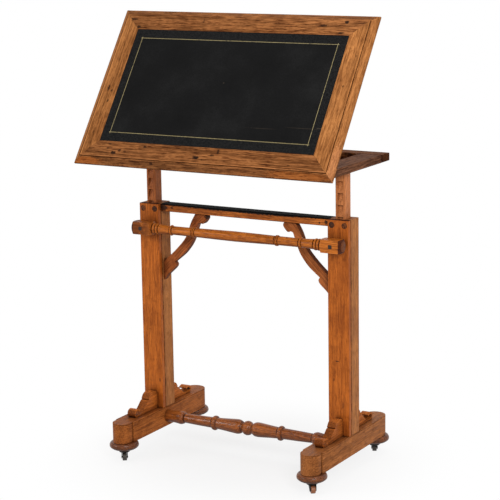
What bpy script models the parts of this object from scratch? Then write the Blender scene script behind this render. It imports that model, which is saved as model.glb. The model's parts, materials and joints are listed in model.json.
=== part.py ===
"""Adjustable drawing stand of joined oak, on sledge feet with casters.

Two grooved posts guide a pair of notched slides, which two square pins on a turned pull bar lock. The slides
carry an open underframe. A leather-lined board is hinged along the front of the underframe, and an easel prop
under the board stands on toothed racks.

Units are metres and +Z is up. X runs along the board and the user stands at -Y. The origin is on the floor,
under the middle of the stand's overall box.
"""
from math import cos, pi, radians, sin

import bmesh
import bpy
from mathutils import Vector

# Fits
FIT = 0.0003                 # gap between faces that rest on each other
SLIDE_CLEARANCE = 0.0005     # between a slide and its groove, all round
PIN_CLEARANCE = 0.0004       # between a lock pin and its holes
PIVOT_CLEARANCE = 0.00008    # radial, between a round pin and its bore
RACK_CLEARANCE = 0.0004      # between the prop's foot rod and the tips of the rack teeth

# Feet
CASTER_HEIGHT = 0.030        # floor to the underside of a bun
BUN_HEIGHT = 0.022
BUN_RADIUS = 0.040
BUN_SPACING = 0.366          # between the front and back bun of one foot
FOOT_WIDTH = 0.060
FOOT_HEIGHT = 0.055
NOSE_RADIUS = 0.0265         # half-round front end of a foot
NOSE_REACH = 0.006           # from the middle of the front bun to the centre of the nose
NOSE_NECK = 0.011            # from the shoulder of a foot to the centre of its nose
NOSE_QUIRK = 0.004           # width of the groove between shoulder and nose
QUIRK_DEPTH = 0.0025
FOOT_EDGE = 0.0012
BUN_SPIGOT_RADIUS = 0.010
BUN_SPIGOT_LENGTH = 0.016

# Posts
POST_SPACING = 0.577         # centre to centre
POST_WIDTH = 0.060
POST_DEPTH = 0.060
POST_TOP = 0.683
FRONT_BOARD = 0.0135         # thickness of the board that closes a post's groove
POST_EDGE = 0.0008
POST_TENON = 0.026           # square tenon in the foot
POST_TENON_LENGTH = 0.034
PEG_RADIUS = 0.0078          # of the head
PEG_SHANK = 0.0026
PEG_INSET = 0.0117           # from the side of the post
PEG_DROP = 0.0138            # below the post top
PEG_DEPTH = 0.006            # thickness of the head
PEG_LENGTH = 0.0225
PEG_HEAD = 0.0006            # how far a peg stands proud

# Cross rail, its leather and its brackets
RAIL_HEIGHT = 0.018
RAIL_DEPTH = 0.035
RAIL_LEATHER = 0.0027
RAIL_TENON_LENGTH = 0.009
RAIL_TENON_WIDTH = 0.018
RAIL_TENON_SHOULDER = 0.004  # above and below the tenon
RAIL_TENON_BACK = 0.005      # behind the middle of the rail, clear of the pegs
BRACKET_THICKNESS = 0.018
BRACKET_REACH = 0.1415       # along the rail
BRACKET_DROP = 0.193         # down the post

# Scroll consoles on the feet
CONSOLE_THICKNESS = 0.024
CONSOLE_LENGTH = 0.1155
CONSOLE_HEIGHT = 0.0515
CONSOLE_LOBE = 0.017         # radius of the upper lobe
CONSOLE_ROLL = 0.011         # radius of the lower roll
CONSOLE_STEP = 0.006

# Turned stretcher between the feet
STRETCHER_RISE = 0.0285      # axis above the underside of the feet
STRETCHER_Y = -0.008
STRETCHER_BALL = 0.020
STRETCHER_BEAD = 0.0203
STRETCHER_WAIST = 0.0138
STRETCHER_COLLAR = 0.018
STRETCHER_SPIGOT_RADIUS = 0.010
STRETCHER_SPIGOT_LENGTH = 0.014

# Pull bar and its pins
BAR_DROP = 0.062             # axis below the post tops
BAR_BLOCK = 0.034            # square of the blocks
BAR_STANDOFF = 0.012         # from the posts to the blocks, with the pins withdrawn
BAR_BLOCK_LENGTH = 0.062
BAR_END = 0.030              # from a pin to the end of the bar
BAR_SHAFT = 0.0117
BAR_SWELL = 0.0136           # shaft radius at mid length
BAR_BEAD = 0.0155
PIN_SIZE = 0.010
PIN_HEAD = 0.0008
PIN_ENGAGED = 0.0052         # how far a pin reaches into a notch with the bar pushed in

# Slides
SLIDE_WIDTH = 0.028
SLIDE_DEPTH = 0.032
SLIDE_ENGAGED = 0.300        # length inside the post as it stands
SLIDE_SHOWN = 0.1237         # between the post and the underframe as it stands
SLIDE_TENON_DEPTH = 0.018
SLIDE_TENON_LENGTH = 0.014
NOTCH_PITCH = 0.0312
NOTCH_WIDTH = 0.0165
NOTCH_DEPTH = 0.0085
NOTCH_SLOPE = 0.027          # height of the slope below a notch
NOTCHES_ABOVE = 5            # above the pin as it stands
NOTCHES_BELOW = 5
TRAVEL_DOWN = 3 * NOTCH_PITCH
SLIDE_FLOOR = 0.010          # left under a slide at its lowest

# Underframe
UNDERFRAME_THICKNESS = 0.021
UNDERFRAME_REACH = 0.0345    # outside the middle of a post
UNDERFRAME_FRONT = -0.2212   # from the middle of the posts
SIDE_RAIL_WIDTH = 0.076
END_RAIL_WIDTH = 0.048
UNDERFRAME_EDGE = 0.0012
FRONT_TAPER_DEPTH = 0.040    # slope under the front rail, which thins it to its front edge
FRONT_TAPER_RISE = 0.0072
UNDERFRAME_TENON_LENGTH = 0.014
UNDERFRAME_TENON_WIDTH = 0.040
UNDERFRAME_TENON_HEIGHT = 0.008

# Hinges
KNUCKLE_RADIUS = 0.0035
KNUCKLE_CLEARANCE = 0.0007   # between the knuckles and the front of the underframe
CLOSED_GAP = 0.0006          # between the underframe and the closed board
HINGE_LENGTH = 0.064
HINGE_INSET = 0.103          # from an end of the underframe to a hinge's middle
HINGE_LEAF = 0.0018
HINGE_LEAF_REACH = 0.030
HINGE_PIN_RADIUS = 0.00125
LEAF_SINK = 0.0002           # how far the upper leaf stands proud of its recess

# Board
BOARD_TILT = radians(54.4)
BOARD_WIDTH = 0.762
BOARD_DEPTH = 0.467
BOARD_OVERHANG = 0.0134      # in front of the hinge pin
BACK_OVERHANG = 0.0224       # behind the underframe with the board closed
BOARD_THICKNESS = 0.0178
BOARD_EDGE = 0.005           # thickness at the outer edge of the bevel
BEVEL_WIDTH = 0.018
BEVEL_STEP = 0.0022          # height of the quirk beside the bevel
MEMBER_WIDTH = 0.0645        # outer edge to leather
LEDGE_WIDTH = 0.008          # ledge under the panel
LEDGE_HEIGHT = 0.0072
LEATHER_THICKNESS = 0.0014
LEATHER_SINK = 0.0004
BATTEN_WIDTH = 0.030
BATTEN_SPACING = 0.320
BATTEN_START = 0.067         # from the hinge pin
BATTEN_CLEARANCE = 0.025     # from the foot rod to the battens with the board closed
BATTEN_DROP = 0.008          # below the hinge pin's level, in the board's frame

# Prop and racks
PROP_ARM_WIDTH = 0.018
PROP_CLEARANCE = 0.0042      # from the folded prop to the back rail
PROP_ARM_THICKNESS = 0.012
PROP_ARM_GAP = 0.0008        # between an arm and its batten
PROP_PIN_RADIUS = 0.0025
PROP_ROD_RADIUS = 0.005
RACK_WIDTH = 0.012           # rebate along the inside of a side rail
RACK_PITCH = 0.0235
RACK_TEETH = 10
RACK_TEETH_AHEAD = 3         # in front of the notch in use
RACK_TOOTH = 0.0035
RACK_END = 0.008             # plain length at each end of a rack

# Casters
CASTER_PLATE_RADIUS = 0.0155
CASTER_PLATE = 0.0055
CASTER_TRAIL = 0.0105
WHEEL_RADIUS = 0.0105
WHEEL_WIDTH = 0.012
WHEEL_GAP = 0.0005
AXLE_RADIUS = 0.002
AXLE_HEAD = 0.001            # riveted ends standing proud of the fork, both together
FORK_CHEEK = 0.0019
FORK_EYE = 0.0045
PINTLE_RADIUS = 0.003
PINTLE_LENGTH = 0.014
PINTLE_CLEARANCE = 0.0003
CASTER_HEADINGS = {"left_front": -55, "right_front": -50, "right_back": 115, "left_back": 150}

# Roundness
SIDES = 18                   # of turned pieces
SMALL_SIDES = 16             # of pins, pegs and bores

# Worked out from the sizes above
POST_X = POST_SPACING / 2
POST_INNER = POST_X - POST_WIDTH / 2
POST_FRONT = -POST_DEPTH / 2
BOARD_BACK = POST_FRONT + FRONT_BOARD
GROOVE_BACK = BOARD_BACK + SLIDE_DEPTH + 2 * SLIDE_CLEARANCE
SLIDE_FRONT = BOARD_BACK + SLIDE_CLEARANCE
FOOT_BOTTOM = CASTER_HEIGHT + BUN_HEIGHT
FOOT_TOP = FOOT_BOTTOM + FOOT_HEIGHT
POST_FOOT = FOOT_TOP + FIT
STRETCHER_HEIGHT = FOOT_BOTTOM + STRETCHER_RISE
BUN_Y = BUN_SPACING / 2
SLIDE_BOTTOM = POST_TOP - SLIDE_ENGAGED
RAIL_TOP = POST_TOP - RAIL_LEATHER - FIT
RAIL_BOTTOM = RAIL_TOP - RAIL_HEIGHT
RAIL_TENON_HEIGHT = RAIL_HEIGHT - 2 * RAIL_TENON_SHOULDER
BAR_Y = POST_FRONT - BAR_STANDOFF - BAR_BLOCK / 2
BAR_HEIGHT = POST_TOP - BAR_DROP
UNDERFRAME_BOTTOM = POST_TOP + SLIDE_SHOWN
UNDERFRAME_TOP = UNDERFRAME_BOTTOM + UNDERFRAME_THICKNESS
UNDERFRAME_X = POST_X + UNDERFRAME_REACH
OPENING_X = UNDERFRAME_X - SIDE_RAIL_WIDTH
KNUCKLE_STANDOFF = KNUCKLE_RADIUS + KNUCKLE_CLEARANCE
HINGE_DROP = KNUCKLE_RADIUS - CLOSED_GAP
HINGE_Y = UNDERFRAME_FRONT - KNUCKLE_STANDOFF
HINGE_Z = UNDERFRAME_TOP - HINGE_DROP
UNDERFRAME_BACK = HINGE_Y + BOARD_DEPTH - BOARD_OVERHANG - BACK_OVERHANG
PROP_FOLDED = UNDERFRAME_BACK - END_RAIL_WIDTH - PROP_CLEARANCE - PROP_ARM_WIDTH / 2   # foot rod, closed
PROP_LENGTH = (PROP_FOLDED - HINGE_Y) / 2   # pivot to foot rod, and hinge pin to pivot
BATTEN_END = 2 * PROP_LENGTH - BATTEN_CLEARANCE
UNDERSIDE = KNUCKLE_RADIUS   # of the board, above the hinge pin in the board's frame
PANEL_UNDERSIDE = UNDERSIDE + LEDGE_HEIGHT + FIT
LEATHER_TOP = UNDERSIDE + BOARD_THICKNESS - LEATHER_SINK
FRONT_EDGE = HINGE_Y - BOARD_OVERHANG * cos(BOARD_TILT) - (UNDERSIDE + BOARD_EDGE) * sin(BOARD_TILT)
POSTS_Y = -(FRONT_EDGE + BUN_Y + BUN_RADIUS) / 2   # of the posts, from the middle of the overall box

# Turns that stand a drawn outline up
PLAN = (0.0, 0.0, 0.0)
FRONT_VIEW = (pi / 2, 0.0, 0.0)
SIDE_VIEW = (pi / 2, 0.0, pi / 2)
ALONG_X = (0.0, pi / 2, 0.0)
ALONG_Y = (-pi / 2, 0.0, 0.0)

for old in list(bpy.data.objects):
    bpy.data.objects.remove(old)


def new_collection(name):
    group = bpy.data.collections.new(name)
    bpy.context.scene.collection.children.link(group)
    return group


PARTS = new_collection("drawing_stand")
CUTTERS = new_collection("cutters")


def material(name, colour, roughness, metallic=0.0):
    made = bpy.data.materials.new(name)
    made.use_nodes = True
    shader = made.node_tree.nodes["Principled BSDF"]
    shader.inputs["Base Color"].default_value = (*colour, 1.0)
    shader.inputs["Roughness"].default_value = roughness
    shader.inputs["Metallic"].default_value = metallic
    return made


OAK = material("waxed_oak", (0.38, 0.13, 0.035), 0.45)
TURNED_OAK = material("turned_oak", (0.30, 0.10, 0.03), 0.40)
BOARD_OAK = material("board_oak", (0.36, 0.15, 0.05), 0.45)
DARK_OAK = material("dark_oak", (0.14, 0.055, 0.022), 0.55)
PINE = material("inner_pine", (0.45, 0.27, 0.12), 0.65)
LEATHER = material("black_leather", (0.012, 0.012, 0.013), 0.5)
IRON = material("dark_iron", (0.03, 0.027, 0.025), 0.5, 0.8)
BRASS = material("aged_brass", (0.42, 0.28, 0.10), 0.4, 1.0)
WHEEL = material("caster_wheel", (0.08, 0.05, 0.035), 0.45)


# Ways of making a piece

def empty(name, location, turn=PLAN, parent=None):
    made = bpy.data.objects.new(name, None)
    PARTS.objects.link(made)
    made.location = location
    made.rotation_euler = turn
    made.parent = parent
    return made


STAND = empty("stand", (0.0, POSTS_Y, 0.0))


def piece(name, mesh, location, turn, finish, parent):
    """One object of the stand, or a hidden cutter where it has no finish."""
    made = bpy.data.objects.new(name, mesh)
    made.location = location
    made.rotation_euler = turn
    made.parent = parent or STAND
    if finish is None:
        CUTTERS.objects.link(made)
        made.hide_render = True
        made.display_type = "WIRE"
    else:
        PARTS.objects.link(made)
        mesh.materials.append(finish)
    return made


def box(name, low, high, finish=None, parent=None, edge=0.0):
    """A rectangular piece between two corners, with its edges eased."""
    low = Vector(low)
    high = Vector(high)
    mesh = bpy.data.meshes.new(name)
    work = bmesh.new()
    bmesh.ops.create_cube(work, size=1.0)
    bmesh.ops.scale(work, vec=high - low, verts=work.verts)
    work.to_mesh(mesh)
    work.free()
    made = piece(name, mesh, (low + high) / 2, PLAN, finish, parent)
    if edge:
        ease(made, edge)
    return made


def ease(made, width, segments=1, angle=40):
    bevel = made.modifiers.new("eased_edges", "BEVEL")
    bevel.width = width
    bevel.segments = segments
    bevel.limit_method = "ANGLE"
    bevel.angle_limit = radians(angle)


def rod(name, radius, length, centre, turn, finish=None, parent=None, sides=SMALL_SIDES):
    """A plain round rod, centred, lying along the turned Z axis."""
    mesh = bpy.data.meshes.new(name)
    work = bmesh.new()
    bmesh.ops.create_cone(work, cap_ends=True, segments=sides, radius1=radius, radius2=radius, depth=length)
    work.to_mesh(mesh)
    work.free()
    mesh.shade_smooth()
    mesh.set_sharp_from_angle(angle=radians(35))
    return piece(name, mesh, centre, turn, finish, parent)


def turned(name, profile, location, turn, finish=None, parent=None, sides=SIDES, ring=False):
    """A lathe-turned piece from (radius, height) points that run from its top down its outer side."""
    mesh = bpy.data.meshes.new(name)
    edges = [(i, i + 1) for i in range(len(profile) - 1)]
    if ring:
        edges.append((len(profile) - 1, 0))
    mesh.from_pydata([(r, 0.0, z) for r, z in profile], edges, [])
    made = piece(name, mesh, location, turn, finish, parent)
    screw = made.modifiers.new("lathe", "SCREW")
    screw.steps = sides
    screw.render_steps = sides
    screw.use_merge_vertices = True
    screw.merge_threshold = 0.00001
    screw.use_smooth_shade = True
    return made


def outline(name, points, thickness, view, location, finish=None, parent=None, smooth=False):
    """A flat board sawn to an outline. A smooth outline's points carry True where the curve runs on."""
    curve = bpy.data.curves.new(name, "CURVE")
    curve.dimensions = "2D"
    curve.fill_mode = "BOTH"
    curve.extrude = thickness / 2
    curve.resolution_u = 3
    if smooth:
        spline = curve.splines.new("BEZIER")
        spline.bezier_points.add(len(points) - 1)
        for knot, (x, y, flowing) in zip(spline.bezier_points, points):
            knot.co = (x, y, 0.0)
            kind = "AUTO" if flowing else "VECTOR"
            knot.handle_left_type = kind
            knot.handle_right_type = kind
    else:
        spline = curve.splines.new("POLY")
        spline.points.add(len(points) - 1)
        for knot, (x, y) in zip(spline.points, points):
            knot.co = (x, y, 0.0, 1.0)
    spline.use_cyclic_u = True
    drawn = bpy.data.objects.new(name + "_drawn", curve)
    CUTTERS.objects.link(drawn)
    mesh = bpy.data.meshes.new_from_object(drawn.evaluated_get(bpy.context.evaluated_depsgraph_get()))
    mesh.name = name
    bpy.data.objects.remove(drawn)
    work = bmesh.new()
    work.from_mesh(mesh)
    bmesh.ops.remove_doubles(work, verts=work.verts, dist=0.00001)
    bmesh.ops.dissolve_limit(work, angle_limit=radians(0.5), verts=work.verts, edges=work.edges)
    bmesh.ops.recalc_face_normals(work, faces=work.faces)
    work.to_mesh(mesh)
    work.free()
    return piece(name, mesh, location, view, finish, parent)


def combine(made, operation, others, solver="EXACT"):
    for other in others:
        step = made.modifiers.new(operation.lower(), "BOOLEAN")
        step.operation = operation
        step.solver = solver
        step.object = other


def cut(made, *cutters, solver="EXACT"):
    combine(made, "DIFFERENCE", cutters, solver)


def join(made, *others, solver="EXACT"):
    combine(made, "UNION", others, solver)


def arc(centre, radius, start, end, count):
    """Points along an arc, with the angles in degrees."""
    turns = [radians(start + (end - start) * i / count) for i in range(count + 1)]
    return [(centre[0] + radius * cos(t), centre[1] + radius * sin(t)) for t in turns]


def mirrored(half):
    """A whole lathe profile from the half above its middle, as (distance, radius) from the middle out."""
    upper = [(r, z) for z, r in reversed(half)]
    lower = [(r, -z) for z, r in half if z > 0]
    return upper + lower


SIDE_SIGNS = {"left": -1, "right": 1}
END_SIGNS = {"front": -1, "back": 1}


# Feet, buns, posts and consoles

def foot(side, x):
    """A sledge foot with a plain round back and, past a quirk, a narrower round nose in front."""
    nose = BUN_Y + NOSE_REACH
    shoulder = nose - NOSE_NECK
    groove = NOSE_RADIUS - QUIRK_DEPTH
    half = [(FOOT_WIDTH / 2, shoulder), (groove, shoulder), (groove, shoulder + NOSE_QUIRK),
            (NOSE_RADIUS, shoulder + NOSE_QUIRK)]
    front = half + arc((0.0, nose), NOSE_RADIUS, 0, 180, 12) + [(-px, py) for px, py in reversed(half)]
    plan = arc((0.0, BUN_Y), FOOT_WIDTH / 2, 0, 180, 12) + [(-px, -py) for px, py in front]
    middle = FOOT_BOTTOM + FOOT_HEIGHT / 2
    made = outline(side + "_foot", plan, FOOT_HEIGHT, PLAN, (x, 0.0, middle), OAK)
    ease(made, FOOT_EDGE, angle=60)
    room = POST_TENON / 2 + FIT
    depth = FOOT_TOP - POST_TENON_LENGTH - FIT
    mortise = box(side + "_post_mortise", (x - room, -room, depth), (x + room, room, FOOT_TOP + room))
    cut(made, mortise, solver="MANIFOLD")
    for end, sign in END_SIGNS.items():
        hole = BUN_SPIGOT_LENGTH + FIT
        cut(made, rod(f"{side}_{end}_spigot_hole", BUN_SPIGOT_RADIUS + FIT, 2 * hole,
                      (x, sign * BUN_Y, FOOT_BOTTOM), PLAN, sides=SIDES), solver="MANIFOLD")
    inner = x - SIDE_SIGNS[side] * FOOT_WIDTH / 2
    hole = STRETCHER_SPIGOT_LENGTH + FIT
    cut(made, rod(side + "_stretcher_hole", STRETCHER_SPIGOT_RADIUS + FIT, 2 * hole,
                  (inner, STRETCHER_Y, STRETCHER_HEIGHT), ALONG_X, sides=SIDES), solver="MANIFOLD")


def bun(name, x, y):
    """A flattened turned foot, with a spigot up into the sledge foot and a bore for the caster's pintle."""
    shares = [(0.86, 0.0), (0.955, 0.14), (1.0, 0.40), (0.97, 0.62), (0.83, 0.83), (0.56, 1.0)]
    bulge = [(BUN_RADIUS * r, -BUN_HEIGHT * h) for r, h in shares]
    bore = PINTLE_RADIUS + PINTLE_CLEARANCE
    bore_top = PINTLE_LENGTH + FIT - CASTER_PLATE - BUN_HEIGHT
    profile = [(0.0, BUN_SPIGOT_LENGTH), (BUN_SPIGOT_RADIUS, BUN_SPIGOT_LENGTH), (BUN_SPIGOT_RADIUS, 0.0)]
    profile += bulge + [(bore, -BUN_HEIGHT), (bore, bore_top), (0.0, bore_top)]
    turned(name, profile, (x, y, FOOT_BOTTOM - FIT), PLAN, TURNED_OAK)


def post(side, x):
    """The grooved body of a post, tenoned into the foot and mortised for the cross rail."""
    half = POST_WIDTH / 2
    front = BOARD_BACK + FIT
    made = box(side + "_post", (x - half, front, POST_FOOT), (x + half, POST_DEPTH / 2, POST_TOP), OAK)
    ease(made, POST_EDGE)
    tenon = POST_TENON / 2
    join(made, box(side + "_post_tenon", (x - tenon, -tenon, FOOT_TOP - POST_TENON_LENGTH),
                   (x + tenon, tenon, POST_FOOT + POST_EDGE * 2)))
    room = SLIDE_WIDTH / 2 + SLIDE_CLEARANCE
    groove_floor = SLIDE_BOTTOM - TRAVEL_DOWN - SLIDE_FLOOR
    cut(made, box(side + "_groove", (x - room, front - POST_EDGE * 2, groove_floor),
                  (x + room, GROOVE_BACK, POST_TOP + POST_EDGE * 2)))
    inner = x - SIDE_SIGNS[side] * half
    reach = RAIL_TENON_LENGTH + 2 * FIT
    width = RAIL_TENON_WIDTH / 2 + FIT
    height = RAIL_TENON_HEIGHT / 2 + FIT
    middle = (RAIL_TOP + RAIL_BOTTOM) / 2
    cut(made, box(side + "_rail_mortise", (inner - reach, RAIL_TENON_BACK - width, middle - height),
                  (inner + reach, RAIL_TENON_BACK + width, middle + height)))
    return made


def post_front(side, x):
    """The board that closes the groove, bored square for the lock pin."""
    half = POST_WIDTH / 2
    made = box(side + "_post_front", (x - half, POST_FRONT, POST_FOOT), (x + half, BOARD_BACK, POST_TOP), OAK)
    ease(made, POST_EDGE)
    room = PIN_SIZE / 2 + PIN_CLEARANCE
    cut(made, box(side + "_pin_hole", (x - room, POST_FRONT - FRONT_BOARD, BAR_HEIGHT - room),
                  (x + room, BOARD_BACK + FRONT_BOARD, BAR_HEIGHT + room)))
    return made


def pegs(side, body, cover):
    """Headed round pegs that hold a front board, and the stepped holes that they fill."""
    for place, step in (("inner", -1), ("outer", 1)):
        x = SIDE_SIGNS[side] * (POST_X + step * (POST_WIDTH / 2 - PEG_INSET))
        face = (x, POST_FRONT - PEG_HEAD, POST_TOP - PEG_DROP)
        turned(f"{side}_post_{place}_peg", peg_profile(0.0), face, ALONG_Y, DARK_OAK, sides=SMALL_SIDES)
        hole = turned(f"{side}_{place}_peg_hole", peg_profile(FIT), face, ALONG_Y, sides=SMALL_SIDES)
        cut(body, hole)
        cut(cover, hole)


def peg_profile(room):
    """A peg from the end of its shank to the face of its head, with room all round for its hole."""
    shank = PEG_SHANK + room
    head = PEG_RADIUS + room
    return [(0.0, PEG_LENGTH + room), (shank, PEG_LENGTH + room), (shank, PEG_DEPTH + room),
            (head, PEG_DEPTH + room), (head, -room), (0.0, -room)]


def console(side, end, x):
    """A scroll console: an upper lobe on the post, a stepped belly and a tail that curls back on the foot."""
    lobe = (CONSOLE_LOBE, CONSOLE_HEIGHT - CONSOLE_LOBE)
    roll = CONSOLE_ROLL
    eye = CONSOLE_LENGTH - roll
    step = (lobe[0] + 1.65 * CONSOLE_LOBE, 0.68 * CONSOLE_HEIGHT)
    valley = eye - 2.2 * roll
    head = [(0.0, 0.0, False), (0.0, lobe[1] + 0.4 * CONSOLE_LOBE, False),
            (lobe[0] - 0.55 * CONSOLE_LOBE, lobe[1] + 0.84 * CONSOLE_LOBE, True),
            (lobe[0] + 0.2 * CONSOLE_LOBE, CONSOLE_HEIGHT, True),
            (lobe[0] + 1.05 * CONSOLE_LOBE, lobe[1] + 0.62 * CONSOLE_LOBE, True), (step[0], step[1], False)]
    belly = [(step[0] + 0.2 * CONSOLE_STEP, step[1] - 0.6 * CONSOLE_STEP, False),
             (step[0] + 0.5 * (valley - step[0]), 0.5 * step[1], True), (valley, 0.5 * roll, True)]
    curl = [(eye - 0.6 * roll, 0.4 * roll, True), (eye + 0.3 * roll, 0.85 * roll, True),
            (eye - 0.1 * roll, 1.4 * roll, True), (eye - 0.95 * roll, 1.15 * roll, False),
            (eye - 1.1 * roll, 1.45 * roll, False), (eye - 0.2 * roll, 2.0 * roll, True),
            (eye + 0.75 * roll, 1.65 * roll, True), (eye + roll, roll, True), (eye + 0.5 * roll, 0.0, False)]
    knots = head + belly + curl
    sign = END_SIGNS[end]
    gap = POST_DEPTH / 2 + FIT
    drawn = [(sign * (gap + d), h, flowing) for d, h, flowing in knots]
    outline(f"{side}_{end}_console", drawn, CONSOLE_THICKNESS, SIDE_VIEW, (x, 0.0, FOOT_TOP + FIT), OAK,
            smooth=True)


# Cross rail, brackets and stretcher

def cross_rail():
    half = RAIL_DEPTH / 2
    reach = POST_INNER - FIT
    made = box("cross_rail", (-reach, -half, RAIL_BOTTOM), (reach, half, RAIL_TOP), OAK, edge=POST_EDGE)
    width = RAIL_TENON_WIDTH / 2
    height = RAIL_TENON_HEIGHT / 2
    middle = (RAIL_TOP + RAIL_BOTTOM) / 2
    for sign in SIDE_SIGNS.values():
        ends = sorted((sign * (reach - 2 * POST_EDGE), sign * (POST_INNER + RAIL_TENON_LENGTH)))
        join(made, box("rail_tenon", (ends[0], RAIL_TENON_BACK - width, middle - height),
                       (ends[1], RAIL_TENON_BACK + width, middle + height)))
    box("rail_leather", (-reach, -half, RAIL_TOP + FIT), (reach, half, POST_TOP), LEATHER, edge=POST_EDGE)


def bracket(side):
    """A curved brace from the post up to the rail, with a lobe at each end, in shares of its two legs."""
    upper = [(0.739, 0.0, False), (0.636, 0.135, True), (0.512, 0.352, True), (0.304, 0.528, True),
             (0.071, 0.684, True), (0.0, 0.731, False)]
    heel = [(0.0, 1.0, False), (0.095, 0.912, True), (0.233, 0.819, True), (0.272, 0.766, True),
            (0.244, 0.725, False)]
    under = [(0.346, 0.666, True), (0.495, 0.570, True), (0.650, 0.417, True), (0.740, 0.250, True)]
    toe = [(0.796, 0.140, False), (0.841, 0.127, True), (0.912, 0.135, True), (1.0, 0.057, True),
           (0.979, 0.0, False)]
    shares = upper + heel + under + toe
    sign = SIDE_SIGNS[side]
    reach = POST_INNER - FIT
    drawn = [(sign * (reach - u * BRACKET_REACH), -w * BRACKET_DROP, flowing) for u, w, flowing in shares]
    outline(side + "_bracket", drawn, BRACKET_THICKNESS, FRONT_VIEW, (0.0, 0.0, RAIL_BOTTOM - FIT), OAK,
            smooth=True)


def stretcher():
    end = POST_X - FOOT_WIDTH / 2 - FIT
    waist = STRETCHER_WAIST
    ball = [(STRETCHER_BALL * sin(radians(a)) * 0.85, STRETCHER_BALL * cos(radians(a))) for a in (0, 25, 45)]
    vase = [(0.019, waist + 0.001), (0.021, waist + 0.002), (0.025, STRETCHER_BALL - 0.0012),
            (0.030, STRETCHER_BALL), (0.045, STRETCHER_BALL - 0.0006), (0.070, waist + 0.0035),
            (0.094, waist + 0.0020)]
    bead_at = 0.103
    bead_root = waist + 0.002
    bead = [(bead_at - 0.006 * cos(radians(a)), bead_root + (STRETCHER_BEAD - bead_root) * sin(radians(a)))
            for a in (15, 50, 90, 130, 165)]
    shaft = [(bead_at + 0.009, waist + 0.0012), (end - 0.061, waist - 0.001), (end - 0.059, waist - 0.0025),
             (end - 0.057, waist - 0.0025)]
    collar = [(end - 0.055, waist + 0.0015), (end - 0.049, STRETCHER_COLLAR - 0.0006),
              (end - 0.045, STRETCHER_COLLAR), (end - 0.038, STRETCHER_COLLAR - 0.0008),
              (end - 0.020, waist + 0.0018), (end, waist + 0.001), (end, STRETCHER_SPIGOT_RADIUS),
              (end + STRETCHER_SPIGOT_LENGTH, STRETCHER_SPIGOT_RADIUS), (end + STRETCHER_SPIGOT_LENGTH, 0.0)]
    turned("stretcher", mirrored(ball + vase + bead + shaft + collar), (0.0, STRETCHER_Y, STRETCHER_HEIGHT),
           ALONG_X, TURNED_OAK)


# Pull bar, lock pins and slides

def pull_bar(parent):
    """A square bar turned down between its end blocks, whose shoulders are nipped round."""
    length = POST_X + BAR_END
    inner = length - BAR_BLOCK_LENGTH
    square = 0.75 * BAR_BLOCK
    shaft = [(0.0, BAR_SWELL), (0.060, BAR_SWELL - 0.0006), (0.122, BAR_SHAFT + 0.0003),
             (0.124, BAR_SHAFT + 0.0026), (0.130, BAR_SHAFT + 0.0026), (0.132, BAR_SHAFT + 0.0003),
             (inner - 0.064, BAR_SHAFT), (inner - 0.062, BAR_SHAFT + 0.0026),
             (inner - 0.056, BAR_SHAFT + 0.0026), (inner - 0.054, BAR_SHAFT),
             (inner - 0.022, BAR_SHAFT + 0.0018), (inner - 0.020, BAR_SHAFT + 0.0004)]
    beads = [(inner - 0.018, BAR_BEAD - 0.001), (inner - 0.0155, BAR_BEAD), (inner - 0.013, BAR_BEAD - 0.001),
             (inner - 0.0115, BAR_SHAFT + 0.0008), (inner - 0.010, BAR_BEAD - 0.0008),
             (inner - 0.006, BAR_BEAD), (inner - 0.003, BAR_BEAD - 0.0012),
             (inner - 0.0015, BAR_SHAFT + 0.001)]
    nip = 0.37 * BAR_BLOCK
    block = [(inner, nip + 0.002), (inner + 0.005, square), (length - 0.007, square),
             (length - 0.0015, nip + 0.0025), (length, nip), (length, 0.0)]
    made = turned("pull_bar", mirrored(shaft + beads + block), (0.0, 0.0, 0.0), ALONG_X, TURNED_OAK, parent)
    half = BAR_BLOCK / 2
    stock = box("bar_square", (-2 * length, -half, -half), (2 * length, half, half), None, parent)
    combine(made, "INTERSECT", [stock])
    room = PIN_SIZE / 2 + FIT
    for sign in SIDE_SIGNS.values():
        cut(made, box("bar_pin_hole", (sign * POST_X - room, -BAR_BLOCK, -room),
                      (sign * POST_X + room, BAR_BLOCK, room), None, parent))


def lock_pin(side, parent):
    """A square iron pin through a block. It reaches a notch when the bar is pushed in."""
    x = SIDE_SIGNS[side] * POST_X
    front = -BAR_BLOCK / 2 - PIN_HEAD
    tip = SLIDE_FRONT + PIN_ENGAGED - BAR_STANDOFF - BAR_Y
    half = PIN_SIZE / 2
    box(side + "_lock_pin", (x - half, front, -half), (x + half, tip, half), IRON, parent)


def slide(side, x, parent):
    """A square upright, tenoned into the underframe, with a row of ratchet notches chopped in its front."""
    back = SLIDE_FRONT + SLIDE_DEPTH
    shoulder = UNDERFRAME_BOTTOM - FIT
    tenon = SLIDE_TENON_DEPTH / 2
    middle = (SLIDE_FRONT + back) / 2
    end = UNDERFRAME_BOTTOM + SLIDE_TENON_LENGTH
    points = [(SLIDE_FRONT, SLIDE_BOTTOM), (back, SLIDE_BOTTOM), (back, shoulder),
              (middle + tenon, shoulder), (middle + tenon, end), (middle - tenon, end),
              (middle - tenon, shoulder), (SLIDE_FRONT, shoulder)]
    made = outline(side + "_slide", points, SLIDE_WIDTH, SIDE_VIEW, (x, 0.0, 0.0), OAK, parent)
    cut(made, notches(side, x, parent))


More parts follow.
